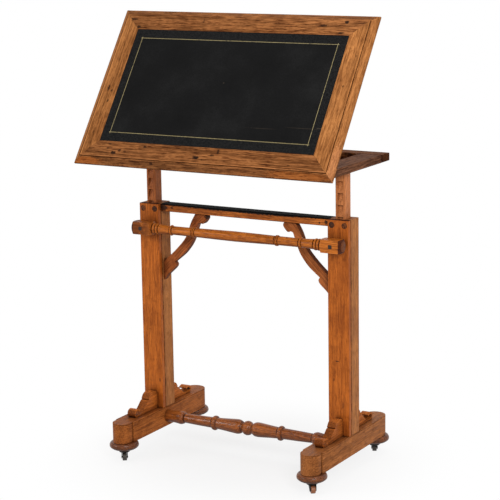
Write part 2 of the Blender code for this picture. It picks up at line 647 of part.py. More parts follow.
def notches(side, x, parent):
    """The comb-shaped cutter for one slide: each tooth has a flat top for the pin and slopes out below."""
    spine = SLIDE_FRONT - NOTCH_DEPTH / 10
    slope = 1.1 * NOTCH_SLOPE
    points = []
    for step in range(NOTCHES_ABOVE, -NOTCHES_BELOW - 1, -1):
        flat = BAR_HEIGHT + PIN_SIZE / 2 + PIN_CLEARANCE + step * NOTCH_PITCH
        points += [(spine, flat), (SLIDE_FRONT + NOTCH_DEPTH, flat), (spine, flat - slope)]
    ahead = SLIDE_FRONT - NOTCH_DEPTH
    points += [(ahead, points[-1][1]), (ahead, points[0][1])]
    return outline(side + "_notches", points, NOTCH_WIDTH, SIDE_VIEW, (x, 0.0, 0.0), None, parent)


# Underframe, racks and hinges

def side_rail(side, parent):
    sign = SIDE_SIGNS[side]
    ends = sorted((sign * OPENING_X, sign * UNDERFRAME_X))
    front = UNDERFRAME_FRONT + END_RAIL_WIDTH + FIT
    back = UNDERFRAME_BACK - END_RAIL_WIDTH - FIT
    made = box(f"underframe_{side}_rail", (ends[0], front, UNDERFRAME_BOTTOM),
               (ends[1], back, UNDERFRAME_TOP), DARK_OAK, parent, UNDERFRAME_EDGE)
    tenon = UNDERFRAME_TENON_LENGTH
    join(made, tenon_through(side, front - tenon, back + tenon, 0.0, parent))
    half = SLIDE_WIDTH / 2 + FIT
    middle = SLIDE_FRONT + SLIDE_DEPTH / 2
    depth = SLIDE_TENON_DEPTH / 2 + FIT
    mortise = box(side + "_slide_mortise", (sign * POST_X - half, middle - depth, UNDERFRAME_BOTTOM - depth),
                  (sign * POST_X + half, middle + depth, UNDERFRAME_BOTTOM + SLIDE_TENON_LENGTH + FIT),
                  None, parent)
    cut(made, mortise, prop_rack(side, parent), solver="MANIFOLD")


def tenon_through(side, front, back, room, parent):
    """The bar that forms both tenons of a side rail, or with room the mortises for them."""
    x = SIDE_SIGNS[side] * (UNDERFRAME_X + OPENING_X) / 2
    z = UNDERFRAME_TOP - UNDERFRAME_THICKNESS / 2
    half = UNDERFRAME_TENON_WIDTH / 2 + room
    height = UNDERFRAME_TENON_HEIGHT / 2 + room
    return box(side + "_tenon", (x - half, front - room, z - height), (x + half, back + room, z + height),
               None, parent)


def end_rail(end, parent):
    """The front or back rail, which runs the whole width and is mortised for the side rails."""
    if end == "front":
        inner = UNDERFRAME_FRONT + END_RAIL_WIDTH
        section = [(UNDERFRAME_FRONT, UNDERFRAME_BOTTOM + FRONT_TAPER_RISE),
                   (UNDERFRAME_FRONT + FRONT_TAPER_DEPTH, UNDERFRAME_BOTTOM), (inner, UNDERFRAME_BOTTOM),
                   (inner, UNDERFRAME_TOP), (UNDERFRAME_FRONT, UNDERFRAME_TOP)]
    else:
        inner = UNDERFRAME_BACK - END_RAIL_WIDTH
        section = [(inner, UNDERFRAME_BOTTOM), (UNDERFRAME_BACK, UNDERFRAME_BOTTOM),
                   (UNDERFRAME_BACK, UNDERFRAME_TOP), (inner, UNDERFRAME_TOP)]
    made = outline(f"underframe_{end}_rail", section, 2 * UNDERFRAME_X, SIDE_VIEW, (0.0, 0.0, 0.0),
                   DARK_OAK, parent)
    ease(made, UNDERFRAME_EDGE)
    front = UNDERFRAME_FRONT + END_RAIL_WIDTH + FIT - UNDERFRAME_TENON_LENGTH
    back = UNDERFRAME_BACK - END_RAIL_WIDTH - FIT + UNDERFRAME_TENON_LENGTH
    for side in SIDE_SIGNS:
        cut(made, tenon_through(side, front, back, FIT, parent), solver="MANIFOLD")
    return made


def prop_rack(side, parent):
    """The cutter for a toothed rebate along the inside of a side rail, with a notch under the foot rod."""
    rod_y = HINGE_Y + 2 * PROP_LENGTH * cos(BOARD_TILT)
    tips = HINGE_Z - PROP_ROD_RADIUS - RACK_CLEARANCE
    first = rod_y - (RACK_TEETH_AHEAD + 0.5) * RACK_PITCH
    last = first + RACK_TEETH * RACK_PITCH
    above = UNDERFRAME_TOP + UNDERFRAME_THICKNESS
    points = [(first - RACK_END, above), (first - RACK_END, tips), (first, tips)]
    for tooth in range(1, RACK_TEETH + 1):
        y = first + tooth * RACK_PITCH
        points += [(y - 0.62 * RACK_PITCH, tips - RACK_TOOTH), (y - 0.30 * RACK_PITCH, tips - RACK_TOOTH),
                   (y - 0.18 * RACK_PITCH, tips), (y, tips)]
    points += [(last + RACK_END, tips), (last + RACK_END, above)]
    x = SIDE_SIGNS[side] * OPENING_X
    return outline(side + "_rack_rebate", points, 2 * RACK_WIDTH, SIDE_VIEW, (x, 0.0, 0.0), None, parent)


def knuckle(low, high, parent, finish=None):
    return rod("knuckle", KNUCKLE_RADIUS, high - low, ((low + high) / 2, 0.0, 0.0), ALONG_X, finish, parent)


def hinge(side, underframe_pivot, board_pivot, front_rail, front_member):
    """A butt hinge: a leaf with its riveted pin let into the front rail, and one let into the board."""
    x = SIDE_SIGNS[side] * (UNDERFRAME_X - HINGE_INSET)
    half = HINGE_LENGTH / 2
    third = HINGE_LENGTH / 6
    behind = KNUCKLE_RADIUS + 2 * FIT
    top = HINGE_DROP
    bed = top - HINGE_LEAF
    lower = box(side + "_hinge_lower_leaf", (x - half, behind, bed), (x + half, HINGE_LEAF_REACH, top),
                BRASS, underframe_pivot)
    join(lower, box("leaf_tab", (x - third, 0.0, bed), (x + third, 2 * behind, top), None, underframe_pivot),
         knuckle(x - third, x + third, underframe_pivot),
         rod("hinge_pin", HINGE_PIN_RADIUS, HINGE_LENGTH, (x, 0.0, 0.0), ALONG_X, None, underframe_pivot))
    recess = box(side + "_lower_recess", (x - half - FIT, 0.0, bed - FIT),
                 (x + half + FIT, HINGE_LEAF_REACH + FIT, 4 * top), None, underframe_pivot)
    cut(front_rail, recess, solver="MANIFOLD")

    seat = UNDERSIDE - LEAF_SINK
    back = seat + HINGE_LEAF
    upper = box(side + "_hinge_upper_leaf", (x - half, behind, seat), (x + half, HINGE_LEAF_REACH, back),
                BRASS, board_pivot)
    root = 0.8 * KNUCKLE_RADIUS
    for sign in SIDE_SIGNS.values():
        low, high = sorted((x + sign * (third + FIT), x + sign * half))
        join(upper, box("leaf_tab", (low, 0.0, seat), (high, 2 * behind, back), None, board_pivot),
             box("leaf_root", (low, 0.0, seat / 2), (high, root, back), None, board_pivot),
             knuckle(low, high, board_pivot))
    cut(upper, rod("hinge_bore", HINGE_PIN_RADIUS + PIVOT_CLEARANCE, 2 * HINGE_LENGTH, (x, 0.0, 0.0),
                   ALONG_X, None, board_pivot))
    cut(front_member, box(side + "_upper_recess", (x - half - FIT, -KNUCKLE_STANDOFF, 0.0),
                          (x + half + FIT, HINGE_LEAF_REACH + FIT, back + FIT), None, board_pivot))


# Board

def member(name, length, turn, offset, parent):
    """One mitred frame member, drawn across the grain and shortened to 45 degrees at both ends."""
    inner = MEMBER_WIDTH + LEDGE_WIDTH
    top = BOARD_THICKNESS
    section = [(0.0, 0.0), (inner, 0.0), (inner, LEDGE_HEIGHT), (MEMBER_WIDTH, LEDGE_HEIGHT),
               (MEMBER_WIDTH, top), (BEVEL_WIDTH, top), (BEVEL_WIDTH, top - BEVEL_STEP), (0.0, BOARD_EDGE)]
    made = outline(name, section, length, PLAN, (0.0, 0.0, 0.0), BOARD_OAK, parent)
    for vertex in made.data.vertices:
        inward, height, along = vertex.co
        mitre = length / 2 - inward - FIT
        vertex.co = (mitre if along > 0 else -mitre, inward - offset, height)
    made.rotation_euler = (0.0, 0.0, turn)
    made.location = (0.0, BOARD_DEPTH / 2 - BOARD_OVERHANG, UNDERSIDE)
    return made


def board(parent):
    members = {}
    for name, length, turn, offset in (
            ("board_front_member", BOARD_WIDTH, 0.0, BOARD_DEPTH / 2),
            ("board_right_member", BOARD_DEPTH, pi / 2, BOARD_WIDTH / 2),
            ("board_back_member", BOARD_WIDTH, pi, BOARD_DEPTH / 2),
            ("board_left_member", BOARD_DEPTH, -pi / 2, BOARD_WIDTH / 2)):
        members[name] = member(name, length, turn, offset, parent)
    x = BOARD_WIDTH / 2 - MEMBER_WIDTH - FIT
    front = MEMBER_WIDTH - BOARD_OVERHANG + FIT
    back = BOARD_DEPTH - BOARD_OVERHANG - MEMBER_WIDTH - FIT
    leather = LEATHER_TOP - LEATHER_THICKNESS
    box("board_panel", (-x, front, PANEL_UNDERSIDE), (x, back, leather - FIT), PINE, parent)
    box("board_leather", (-x, front, leather), (x, back, LEATHER_TOP), LEATHER, parent)
    for side, sign in SIDE_SIGNS.items():
        middle = sign * BATTEN_SPACING / 2
        half = BATTEN_WIDTH / 2
        made = box(side + "_board_batten", (middle - half, BATTEN_START, -BATTEN_DROP),
                   (middle + half, BATTEN_END, PANEL_UNDERSIDE - FIT), PINE, parent, UNDERFRAME_EDGE)
        cut(made, rod(side + "_batten_bore", PROP_PIN_RADIUS + PIVOT_CLEARANCE, 2 * BATTEN_WIDTH,
                      (middle, PROP_LENGTH, 0.0), ALONG_X, None, parent))
    return members["board_front_member"]


# Prop

def prop(parent):
    """Two arms, pinned to the battens, that carry a rod, in a frame whose Y axis runs down the arms."""
    inner = BATTEN_SPACING / 2 - BATTEN_WIDTH / 2 - PROP_ARM_GAP
    half = PROP_ARM_WIDTH / 2
    shape = arc((0.0, 0.0), half, -180, 0, 8) + arc((0.0, PROP_LENGTH), half, 0, 180, 8)
    for side, sign in SIDE_SIGNS.items():
        x = sign * (inner - PROP_ARM_THICKNESS / 2)
        made = outline(side + "_prop_arm", [(py, px) for px, py in shape], PROP_ARM_THICKNESS, SIDE_VIEW,
                       (x, 0.0, 0.0), PINE, parent)
        cut(made, rod(side + "_rod_bore", PROP_ROD_RADIUS + PIVOT_CLEARANCE, 2 * PROP_ARM_THICKNESS,
                      (x, PROP_LENGTH, 0.0), ALONG_X, None, parent), solver="MANIFOLD")
        pin = PROP_ARM_THICKNESS / 2 + PROP_ARM_GAP + BATTEN_WIDTH
        join(made, rod(side + "_prop_pin", PROP_PIN_RADIUS, pin, (x + sign * pin / 2, 0.0, 0.0), ALONG_X,
                       None, parent), solver="MANIFOLD")
    reach = OPENING_X + RACK_WIDTH - 4 * FIT
    rod("prop_foot_rod", PROP_ROD_RADIUS, 2 * reach, (0.0, PROP_LENGTH, 0.0), ALONG_X, PINE, parent)


# Casters

def caster(name, x, y):
    """A swivelling fork with its riveted axle, and its wheel. Its empty is on the floor under the pintle."""
    swivel = empty(name + "_swivel", (x, y, 0.0), (0.0, 0.0, radians(CASTER_HEADINGS[name])), STAND)
    top = CASTER_HEIGHT - CASTER_PLATE - 3 * FIT
    slot = 2 * WHEEL_RADIUS + WHEEL_GAP
    side = WHEEL_WIDTH / 2 + WHEEL_GAP
    eye = FORK_EYE
    crown = 1.8 * eye
    knots = [(-crown, top, False), (-crown, slot - eye / 4, False),
             (CASTER_TRAIL - eye, WHEEL_RADIUS - eye / 4, True), (CASTER_TRAIL, WHEEL_RADIUS - eye, True),
             (CASTER_TRAIL + eye, WHEEL_RADIUS, True), (CASTER_TRAIL + eye, slot - eye / 2, False),
             (CASTER_TRAIL + eye / 2, top, False)]
    width = 2 * (side + FORK_CHEEK)
    fork = outline(name + "_caster_fork", knots, width, FRONT_VIEW, (0.0, 0.0, 0.0), IRON, swivel,
                   smooth=True)
    wide = 4 * WHEEL_RADIUS
    join(fork, rod(name + "_pintle", PINTLE_RADIUS, 2 * PINTLE_LENGTH, (0.0, 0.0, top), PLAN, None, swivel))
    cut(fork, box(name + "_wheel_slot", (-wide, -side, -wide), (wide, side, slot), None, swivel))
    hub = (CASTER_TRAIL, 0.0, WHEEL_RADIUS)
    join(fork, rod(name + "_axle", AXLE_RADIUS, width + AXLE_HEAD, hub, ALONG_Y, None, swivel))
    bore = AXLE_RADIUS + PIVOT_CLEARANCE
    half = WHEEL_WIDTH / 2
    round_over = 0.3 * half
    tread = WHEEL_RADIUS - round_over
    profile = [(bore, half), (tread, half), (WHEEL_RADIUS, half - round_over),
               (WHEEL_RADIUS, round_over - half), (tread, -half), (bore, -half)]
    turned(name + "_caster_wheel", profile, hub, ALONG_Y, WHEEL, swivel, SIDES, ring=True)


def caster_plate(name, x, y):
    bore = PINTLE_RADIUS + PINTLE_CLEARANCE
    rim = CASTER_PLATE_RADIUS
    profile = [(bore, 0.0), (rim, 0.0), (rim, -CASTER_PLATE), (bore, -CASTER_PLATE)]
    place = (x, y, CASTER_HEIGHT - 2 * FIT)
    turned(name + "_caster_plate", profile, place, PLAN, IRON, None, SIDES, ring=True)


# The whole stand

for side_name, side_sign in SIDE_SIGNS.items():
    post_x = side_sign * POST_X
    foot(side_name, post_x)
    pegs(side_name, post(side_name, post_x), post_front(side_name, post_x))
    bracket(side_name)
    for end_name, end_sign in END_SIGNS.items():
        corner = f"{side_name}_{end_name}"
        bun(corner + "_bun", post_x, end_sign * BUN_Y)
        console(side_name, end_name, post_x)
        caster_plate(corner, post_x, end_sign * BUN_Y)
        caster(corner, post_x, end_sign * BUN_Y)
cross_rail()
stretcher()

bar_rest = empty("pull_bar_slide", (0.0, BAR_Y, BAR_HEIGHT), PLAN, STAND)
pull_bar(bar_rest)
carriage = empty("carriage_slide", (0.0, 0.0, 0.0), PLAN, STAND)
hinge_line = empty("hinge_line", (0.0, HINGE_Y, HINGE_Z), PLAN, carriage)
board_pivot = empty("board_pivot", (0.0, HINGE_Y, HINGE_Z), (BOARD_TILT, 0.0, 0.0), carriage)
prop_pivot = empty("prop_pivot", (0.0, PROP_LENGTH, 0.0), (-2 * BOARD_TILT, 0.0, 0.0), board_pivot)
front_member = board(board_pivot)
front_rail = end_rail("front", carriage)
end_rail("back", carriage)
for side_name, side_sign in SIDE_SIGNS.items():
    lock_pin(side_name, bar_rest)
    slide(side_name, side_sign * POST_X, carriage)
    side_rail(side_name, carriage)
    hinge(side_name, hinge_line, board_pivot, front_rail, front_member)
prop(prop_pivot)
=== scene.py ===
import json
from math import cos, radians, sin

import bpy
from mathutils import Matrix, Vector


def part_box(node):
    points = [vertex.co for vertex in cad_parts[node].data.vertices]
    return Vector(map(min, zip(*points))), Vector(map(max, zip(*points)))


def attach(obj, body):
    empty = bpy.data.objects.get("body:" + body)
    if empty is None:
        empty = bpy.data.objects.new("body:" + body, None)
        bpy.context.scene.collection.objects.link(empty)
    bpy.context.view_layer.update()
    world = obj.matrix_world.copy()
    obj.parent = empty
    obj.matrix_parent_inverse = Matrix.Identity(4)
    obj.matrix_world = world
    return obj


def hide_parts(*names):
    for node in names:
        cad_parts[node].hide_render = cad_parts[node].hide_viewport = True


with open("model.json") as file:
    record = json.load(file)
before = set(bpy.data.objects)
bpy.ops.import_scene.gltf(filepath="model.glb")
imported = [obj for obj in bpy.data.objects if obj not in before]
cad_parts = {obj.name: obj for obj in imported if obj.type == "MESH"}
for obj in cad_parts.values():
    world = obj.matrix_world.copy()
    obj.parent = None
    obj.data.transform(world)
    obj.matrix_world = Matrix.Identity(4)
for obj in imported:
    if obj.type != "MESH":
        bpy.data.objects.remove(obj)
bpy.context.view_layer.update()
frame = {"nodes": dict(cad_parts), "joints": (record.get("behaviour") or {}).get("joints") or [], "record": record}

# The stand is of waxed oak, with a black leather writing surface, iron casters and brass hinges.
# Lengths are in metres, or in millimetres where a table of marks or of a profile says so.
# X runs along the board, the user stands at -Y, and the floor is at 0.

scene = bpy.context.scene
SIDES = ("left", "right")
ENDS = ("front", "back")
CORNERS = tuple(f"{side}_{end}" for side in SIDES for end in ENDS)

MM = 0.001
SHARP = "sharp"              # ends a knot that is a corner of its outline
FIT = 0.0003                 # play between pieces that are let into each other
MERGED = 0.000005            # points nearer than this become one
LATHE_SIDES = 56
SMALL_SIDES = 40             # of the casters' turned parts
WAXED_EDGE = 0.0014          # rounding that wear leaves on an arris
SLIDE_EDGE = 0.0016
FOOT_EDGE = 0.0026
BLOCK_EDGE = 0.0012
THIN_EDGE = 0.0006           # the same on leather, battens and pins
CRISP_EDGE = 0.0005          # on the board's mouldings and the casters' cheeks

POST_HALF = 0.03             # half the width of a post, and of a foot
POST_X = 0.2885              # half the spacing of the posts
RAIL_HALF = 0.018            # half the thickness of the cross rail
NOSE_RADIUS = 0.0265         # of a foot's front end
CONSOLE_ROLL = 0.011         # radius of the hook at a console's tail
BRACE_LEAN = radians(45.0)
BLOCK_LENGTH = 0.062         # the pull bar's square blocks
BLOCK_WIDTH = 0.034
NOTCHES = 5                  # in a slide, above the pins and below them
NOTCH_PITCH = 0.0312
PIN_HALF = 0.0054
WHEEL_RADIUS = 0.0105
CASTER_TRAIL = 0.0105
CASTER_HEADINGS = {"left_front": -55, "right_front": -50, "right_back": 115, "left_back": 150}
DARK_CASTERS = ("left_front", "right_back")

# Heights on the board are above the hinge pin, square to the board, and depths are up its slope from the pin
BOARD_WIDTH = 0.762
BOARD_DEPTH = 0.467
BOARD_NEAR = -0.0134
BOARD_UNDER = 0.0035
MEMBER_THICKNESS = 0.0178
BOARD_FACE = BOARD_UNDER + MEMBER_THICKNESS
BEVEL_FACE = 0.014           # the middle of the outer bevel
LEATHER_TOP = 0.0209
BOARD_TILT = radians(54.4)
GILT_LENGTH = 0.2925         # half of the gilt frame, along the board
GILT_NEAR = 0.0776
GILT_FAR = 0.3621
GILT_MIDDLE = (GILT_NEAR + GILT_FAR) / 2
GILT_RISE = (GILT_FAR - GILT_NEAR) / 2
GILT_WIDTH = 0.0016
GILT_OVERSHOOT = 0.0035      # by which the tool ran past a corner
GILT_THICKNESS = 0.0003


def middle(node):
    low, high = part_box(node)
    return (low + high) / 2


post_low, post_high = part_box("left_post")
front_low, front_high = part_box("left_post_front")
rail_low, rail_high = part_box("cross_rail")
brace_low, brace_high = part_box("left_bracket")
STAND_Y = (front_low.y + post_high.y) / 2
POST_TOP = post_high.z
BAR_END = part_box("pull_bar")[1].x
BAR_INNER = BAR_END - BLOCK_LENGTH
STRETCHER_END = POST_X - POST_HALF - FIT
HINGE_PIN = Vector(next(joint["pos_m"] for joint in frame["joints"] if joint["name"] == "board_tilt"))
BOARD_PLACE = Matrix.Translation(HINGE_PIN) @ Matrix.Rotation(BOARD_TILT, 4, "X")


# Shaping

def select_only(piece):
    bpy.ops.object.select_all(action="DESELECT")
    piece.select_set(True)
    bpy.context.view_layer.objects.active = piece


def open_mesh():
    """Opens the active piece's mesh for editing, with all of it selected."""
    bpy.ops.object.mode_set(mode="EDIT")
    bpy.ops.mesh.select_all(action="SELECT")


def close_mesh():
    bpy.ops.object.mode_set(mode="OBJECT")


def finished(piece, name, angle=35.0):
    """Puts the piece's place in its mesh, turns its faces outwards and shades its rounds smooth."""
    piece.name = name
    piece.data.name = name
    select_only(piece)
    bpy.ops.object.transform_apply()
    open_mesh()
    bpy.ops.mesh.remove_doubles(threshold=MERGED)
    bpy.ops.mesh.normals_make_consistent(inside=False)
    bpy.ops.mesh.select_all(action="DESELECT")
    close_mesh()
    bpy.ops.object.shade_smooth_by_angle(angle=radians(angle))
    return piece


def eased(piece, width, corner=38.0, segments=3):
    """Rounds the arrises sharper than the corner angle, and merges the points where a round ran out."""
    select_only(piece)
    bpy.ops.object.modifier_add(type="BEVEL")
    arris = piece.modifiers[-1]
    arris.width = width
    arris.segments = segments
    arris.limit_method = "ANGLE"
    arris.angle_limit = radians(corner)
    arris.harden_normals = True
    bpy.ops.object.modifier_apply(modifier=arris.name)
    open_mesh()
    bpy.ops.mesh.remove_doubles(threshold=MERGED)
    bpy.ops.mesh.dissolve_degenerate(threshold=MERGED)
    bpy.ops.mesh.select_all(action="DESELECT")
    close_mesh()
    return piece


def flowing(knots, steps=5):
    """A smooth line through the knots, as (a, b) points. A knot that ends in SHARP is a corner."""
    points = []
    sharp = [len(knot) > 2 for knot in knots]
    for i, (here, there) in enumerate(zip(knots, knots[1:])):
        before = knots[i - 1] if i and not sharp[i] else here
        after = knots[i + 2] if i + 2 < len(knots) and not sharp[i + 1] else there
        straight = sharp[i] and sharp[i + 1]
        for step in range(1 if straight else steps):
            t = step / steps
            point = []
            for axis in (0, 1):
                p, q, r, s = before[axis], here[axis], there[axis], after[axis]
                point.append(0.5 * (2 * q + (r - p) * t + (2 * p - 5 * q + 4 * r - s) * t ** 2
                                    + (3 * q - p - 3 * r + s) * t ** 3))
            points.append(tuple(point))
    points.append(knots[-1][:2])
    return points


def millimetres(table, start=0.0):
    """A table of points in millimetres, put in metres from a start along the piece."""
    return [(start + a * MM, b * MM, *corner) for a, b, *corner in table]


def turned(name, profile, centre, axis, sides=LATHE_SIDES):
    """Turns a piece: a circle is drawn out ring by ring and let out or drawn in to each radius."""
    bpy.ops.object.select_all(action="DESELECT")
    centre, axis = Vector(centre), Vector(axis)
    facing = axis.to_track_quat("Z", "Y").to_euler()
    reach, radius = profile[0]
    bpy.ops.mesh.primitive_circle_add(vertices=sides, radius=radius, fill_type="NGON",
                                      location=centre + reach * axis, rotation=facing)
    piece = bpy.context.object
    bpy.ops.object.transform_apply()
    open_mesh()
    for (before, was), (after, now) in zip(profile, profile[1:]):
        bpy.ops.mesh.extrude_region_move(TRANSFORM_OT_translate={"value": (after - before) * axis})
        bpy.ops.transform.resize(value=(now / was,) * 3, center_override=centre + after * axis)
    close_mesh()
    return finished(piece, name)


def traced(points):
    """Draws a corner out round an outline and fills it. The face is left selected for the next stroke."""
    bpy.ops.object.select_all(action="DESELECT")
    points = [Vector(point) for point in points]
    bpy.ops.mesh.primitive_plane_add(size=0.01, location=points[0])
    piece = bpy.context.object
    bpy.ops.object.transform_apply()
    open_mesh()
    bpy.ops.mesh.merge(type="CENTER")
    for here, there in zip(points, points[1:]):
        bpy.ops.mesh.extrude_vertices_move(TRANSFORM_OT_translate={"value": there - here})
    close_mesh()
    for vertex in piece.data.vertices:
        ends = min((vertex.co - points[0]).length, (vertex.co - points[-1]).length)
        vertex.select = ends < 2 * MERGED
    bpy.ops.object.mode_set(mode="EDIT")
    bpy.ops.mesh.edge_face_add()
    bpy.ops.mesh.select_all(action="SELECT")
    bpy.ops.mesh.edge_face_add()
    return piece


def sawn(name, points, thickness, edge):
    """Saws a piece from a board: an outline, given its thickness and eased."""
    piece = traced(points)
    bpy.ops.mesh.extrude_region_move(TRANSFORM_OT_translate={"value": Vector(thickness)})
    close_mesh()
    finished(piece, name, angle=30.0)
    return eased(piece, edge, corner=48.0) if edge else piece


def combined(piece, operation, other):
    """Joins the other piece to this one, cuts it out, or keeps what they share, and uses it up."""
    select_only(piece)
    bpy.ops.object.modifier_add(type="BOOLEAN")
    step = piece.modifiers[-1]
    step.operation = operation
    step.object = other
    step.solver = "EXACT"
    bpy.ops.object.modifier_apply(modifier=step.name)
    bpy.data.objects.remove(other)
    select_only(piece)
    bpy.ops.object.shade_smooth_by_angle(angle=radians(32.0))
    return piece


def block(centre, size):
    """A plain block, with its place and size in its mesh."""
    bpy.ops.object.select_all(action="DESELECT")
    bpy.ops.mesh.primitive_cube_add(size=1.0, location=centre, scale=size)
    bpy.ops.object.transform_apply()
    return bpy.context.object


def eased_copy(node, edge):
    """The CAD node's own shape, merged, cleared of the cuts across its flats and eased."""
    piece = bpy.data.objects.new(node + "_eased", frame["nodes"][node].data.copy())
    scene.collection.objects.link(piece)
    select_only(piece)
    bpy.ops.mesh.customdata_custom_splitnormals_clear()
    open_mesh()
    bpy.ops.mesh.remove_doubles(threshold=2 * MERGED)
    bpy.ops.mesh.dissolve_limited(angle_limit=radians(1.0))
    bpy.ops.mesh.normals_make_consistent(inside=False)
    close_mesh()
    bpy.ops.object.shade_smooth_by_angle(angle=radians(30.0))
    return eased(piece, edge)


def copied(piece, name, place):
    """A copy with its own mesh. A mirrored copy has its faces turned out again."""
    twin = piece.copy()
    twin.data = piece.data.copy()
    scene.collection.objects.link(twin)
    twin.data.transform(place)
    if place.determinant() < 0:
        twin.data.flip_normals()
    twin.name = name
    twin.data.name = name
    return twin


def repeated(piece, name, start, node, mirror=Matrix.Identity(4)):
    """The piece itself at the node that it was made for, or its copy at another node."""
    if node == start:
        return piece
    place = Matrix.Translation(middle(node)) @ mirror @ Matrix.Translation(-middle(start))
    return copied(piece, name, place)


# Finishes

def level(x, y, z=BOARD_FACE):
    """A point of the board at rest, in the turned coordinates that its finish reads."""
    return tuple(Matrix.Rotation(-BOARD_TILT, 3, "X") @ (BOARD_PLACE @ Vector((x, y, z))))


def blank(name):
    made = bpy.data.materials.new(name)
    made.use_nodes = True
    tree = made.node_tree
    tree.nodes.clear()
    surface = tree.nodes.new("ShaderNodeBsdfPrincipled")
    output = tree.nodes.new("ShaderNodeOutputMaterial")
    tree.links.new(surface.outputs["BSDF"], output.inputs["Surface"])
    return made, tree, surface


def put(tree, kind, inputs, **settings):
    """Adds a node, sets it, and links or sets its inputs."""
    made = tree.nodes.new("ShaderNode" + kind)
    for key, value in settings.items():
        setattr(made, key, value)
    for key, value in inputs.items():
        if isinstance(value, bpy.types.NodeSocket):
            tree.links.new(value, made.inputs[key])
        else:
            made.inputs[key].default_value = value
    return made


def reckon(tree, operation, first, second=0.0, third=0.0):
    return put(tree, "Math", {0: first, 1: second, 2: third}, operation=operation).outputs[0]


def product(tree, first, second):
    return reckon(tree, "MULTIPLY", first, second)


def greatest(tree, values):
    total = values[0]
    for value in values[1:]:
        total = reckon(tree, "MAXIMUM", total, value)
    return total


def openness(tree, distance, samples=8, inside=False):
    """How open the surface is within a distance, from 0 in a crease to 1."""
    return put(tree, "AmbientOcclusion", {"Distance": distance}, samples=samples, inside=inside).outputs["AO"]


def spread(tree, value, low, high, to_low=0.0, to_high=1.0):
    made = put(tree, "MapRange", {"Value": value, "From Min": low, "From Max": high, "To Min": to_low,
                                  "To Max": to_high}, interpolation_type="SMOOTHSTEP")
    return made.outputs["Result"]


def tinted(tree, mode, share, under, over):
    made = put(tree, "Mix", {0: share, 6: under, 7: over}, data_type="RGBA", blend_type=mode)
    return made.outputs[2]


def noise(tree, where, scale, detail=3.0, rough=0.55, warp=0.0):
    made = put(tree, "TexNoise", {"Vector": where, "Scale": scale, "Detail": detail, "Roughness": rough,
                                  "Distortion": warp})
    return made.outputs["Fac"]


def ramp(tree, value, stops):
    made = put(tree, "ValToRGB", {"Fac": value})
    elements = made.color_ramp.elements
    while len(elements) < len(stops):
        elements.new(0.5)
    for element, (position, colour) in zip(elements, stops):
        element.position = position
        element.color = (*colour, 1.0)
    return made.outputs["Color"]


def dressed(tree, surface, colour, rough, height=None, strength=0.0, depth=0.0):
    """Gives the surface its colour and roughness, and a fine relief where there is a height."""
    tree.links.new(colour, surface.inputs["Base Color"])
    tree.links.new(rough, surface.inputs["Roughness"])
    if height is not None:
        relief = put(tree, "Bump", {"Height": height, "Strength": strength, "Distance": depth})
        tree.links.new(relief.outputs["Normal"], surface.inputs["Normal"])


def spots(tree, where, marks):
    """Where knots, nicks, stains, patches and painted shade lie: each is (centre, half sizes, strength), with a
    ragged edge.
    """
    ragged = product(tree, noise(tree, where, 260.0, 2.0), 1.2)
    shares = []
    for centre, sizes, strength in marks:
        away = put(tree, "VectorMath", {0: where, 1: centre}, operation="SUBTRACT").outputs[0]
        inverse = tuple(1 / size for size in sizes)
        away = put(tree, "VectorMath", {0: away, 1: inverse}, operation="MULTIPLY").outputs[0]
        reach = put(tree, "VectorMath", {0: away}, operation="LENGTH").outputs["Value"]
        shares.append(spread(tree, reckon(tree, "ADD", reach, ragged), 1.1, 1.5, strength, 0.0))
    return greatest(tree, shares)


def ruled(tree, place, line, broken):
    """A straight line across an axis, (axis, place, half width, strength), that comes and goes."""
    axis, where, half, strength = line
    off = reckon(tree, "ABSOLUTE", reckon(tree, "SUBTRACT", place.outputs[axis], where))
    return product(tree, spread(tree, off, 0.35 * half, half, strength, 0.0), broken)


def drawn_out(grain, share):
    """The scale that draws a texture out along the grain."""
    return tuple(share if axis == grain else 1.0 for axis in "XYZ")


def lighter(colour, times):
    return tuple(min(1.0, times * share) for share in colour) + (1.0,)


GRAIN_DRIFT = (0.007, 0.007, 0.007)
STROKE_BROWN = (0.3, 0.2, 0.14, 1.0)
PORE_BROWN = (0.36, 0.26, 0.2, 1.0)
# Soiling and painted shade (in creases, near other parts, below and along dark lines) darken towards this brown
SOIL_AND_SHADE_BROWN = (0.12, 0.07, 0.045, 1.0)
# Knots and stains, and painted shade in the consoles' hollows, at the rail's ends and at the left brace's toe, go
# towards this black
KNOT_AND_SHADE_BLACK = (0.012, 0.006, 0.004, 1.0)
BLOTCHES = ((0.3, (0.76, 0.71, 0.67)), (0.52, (1.0, 1.0, 1.0)), (0.74, (1.12, 1.1, 1.06)))


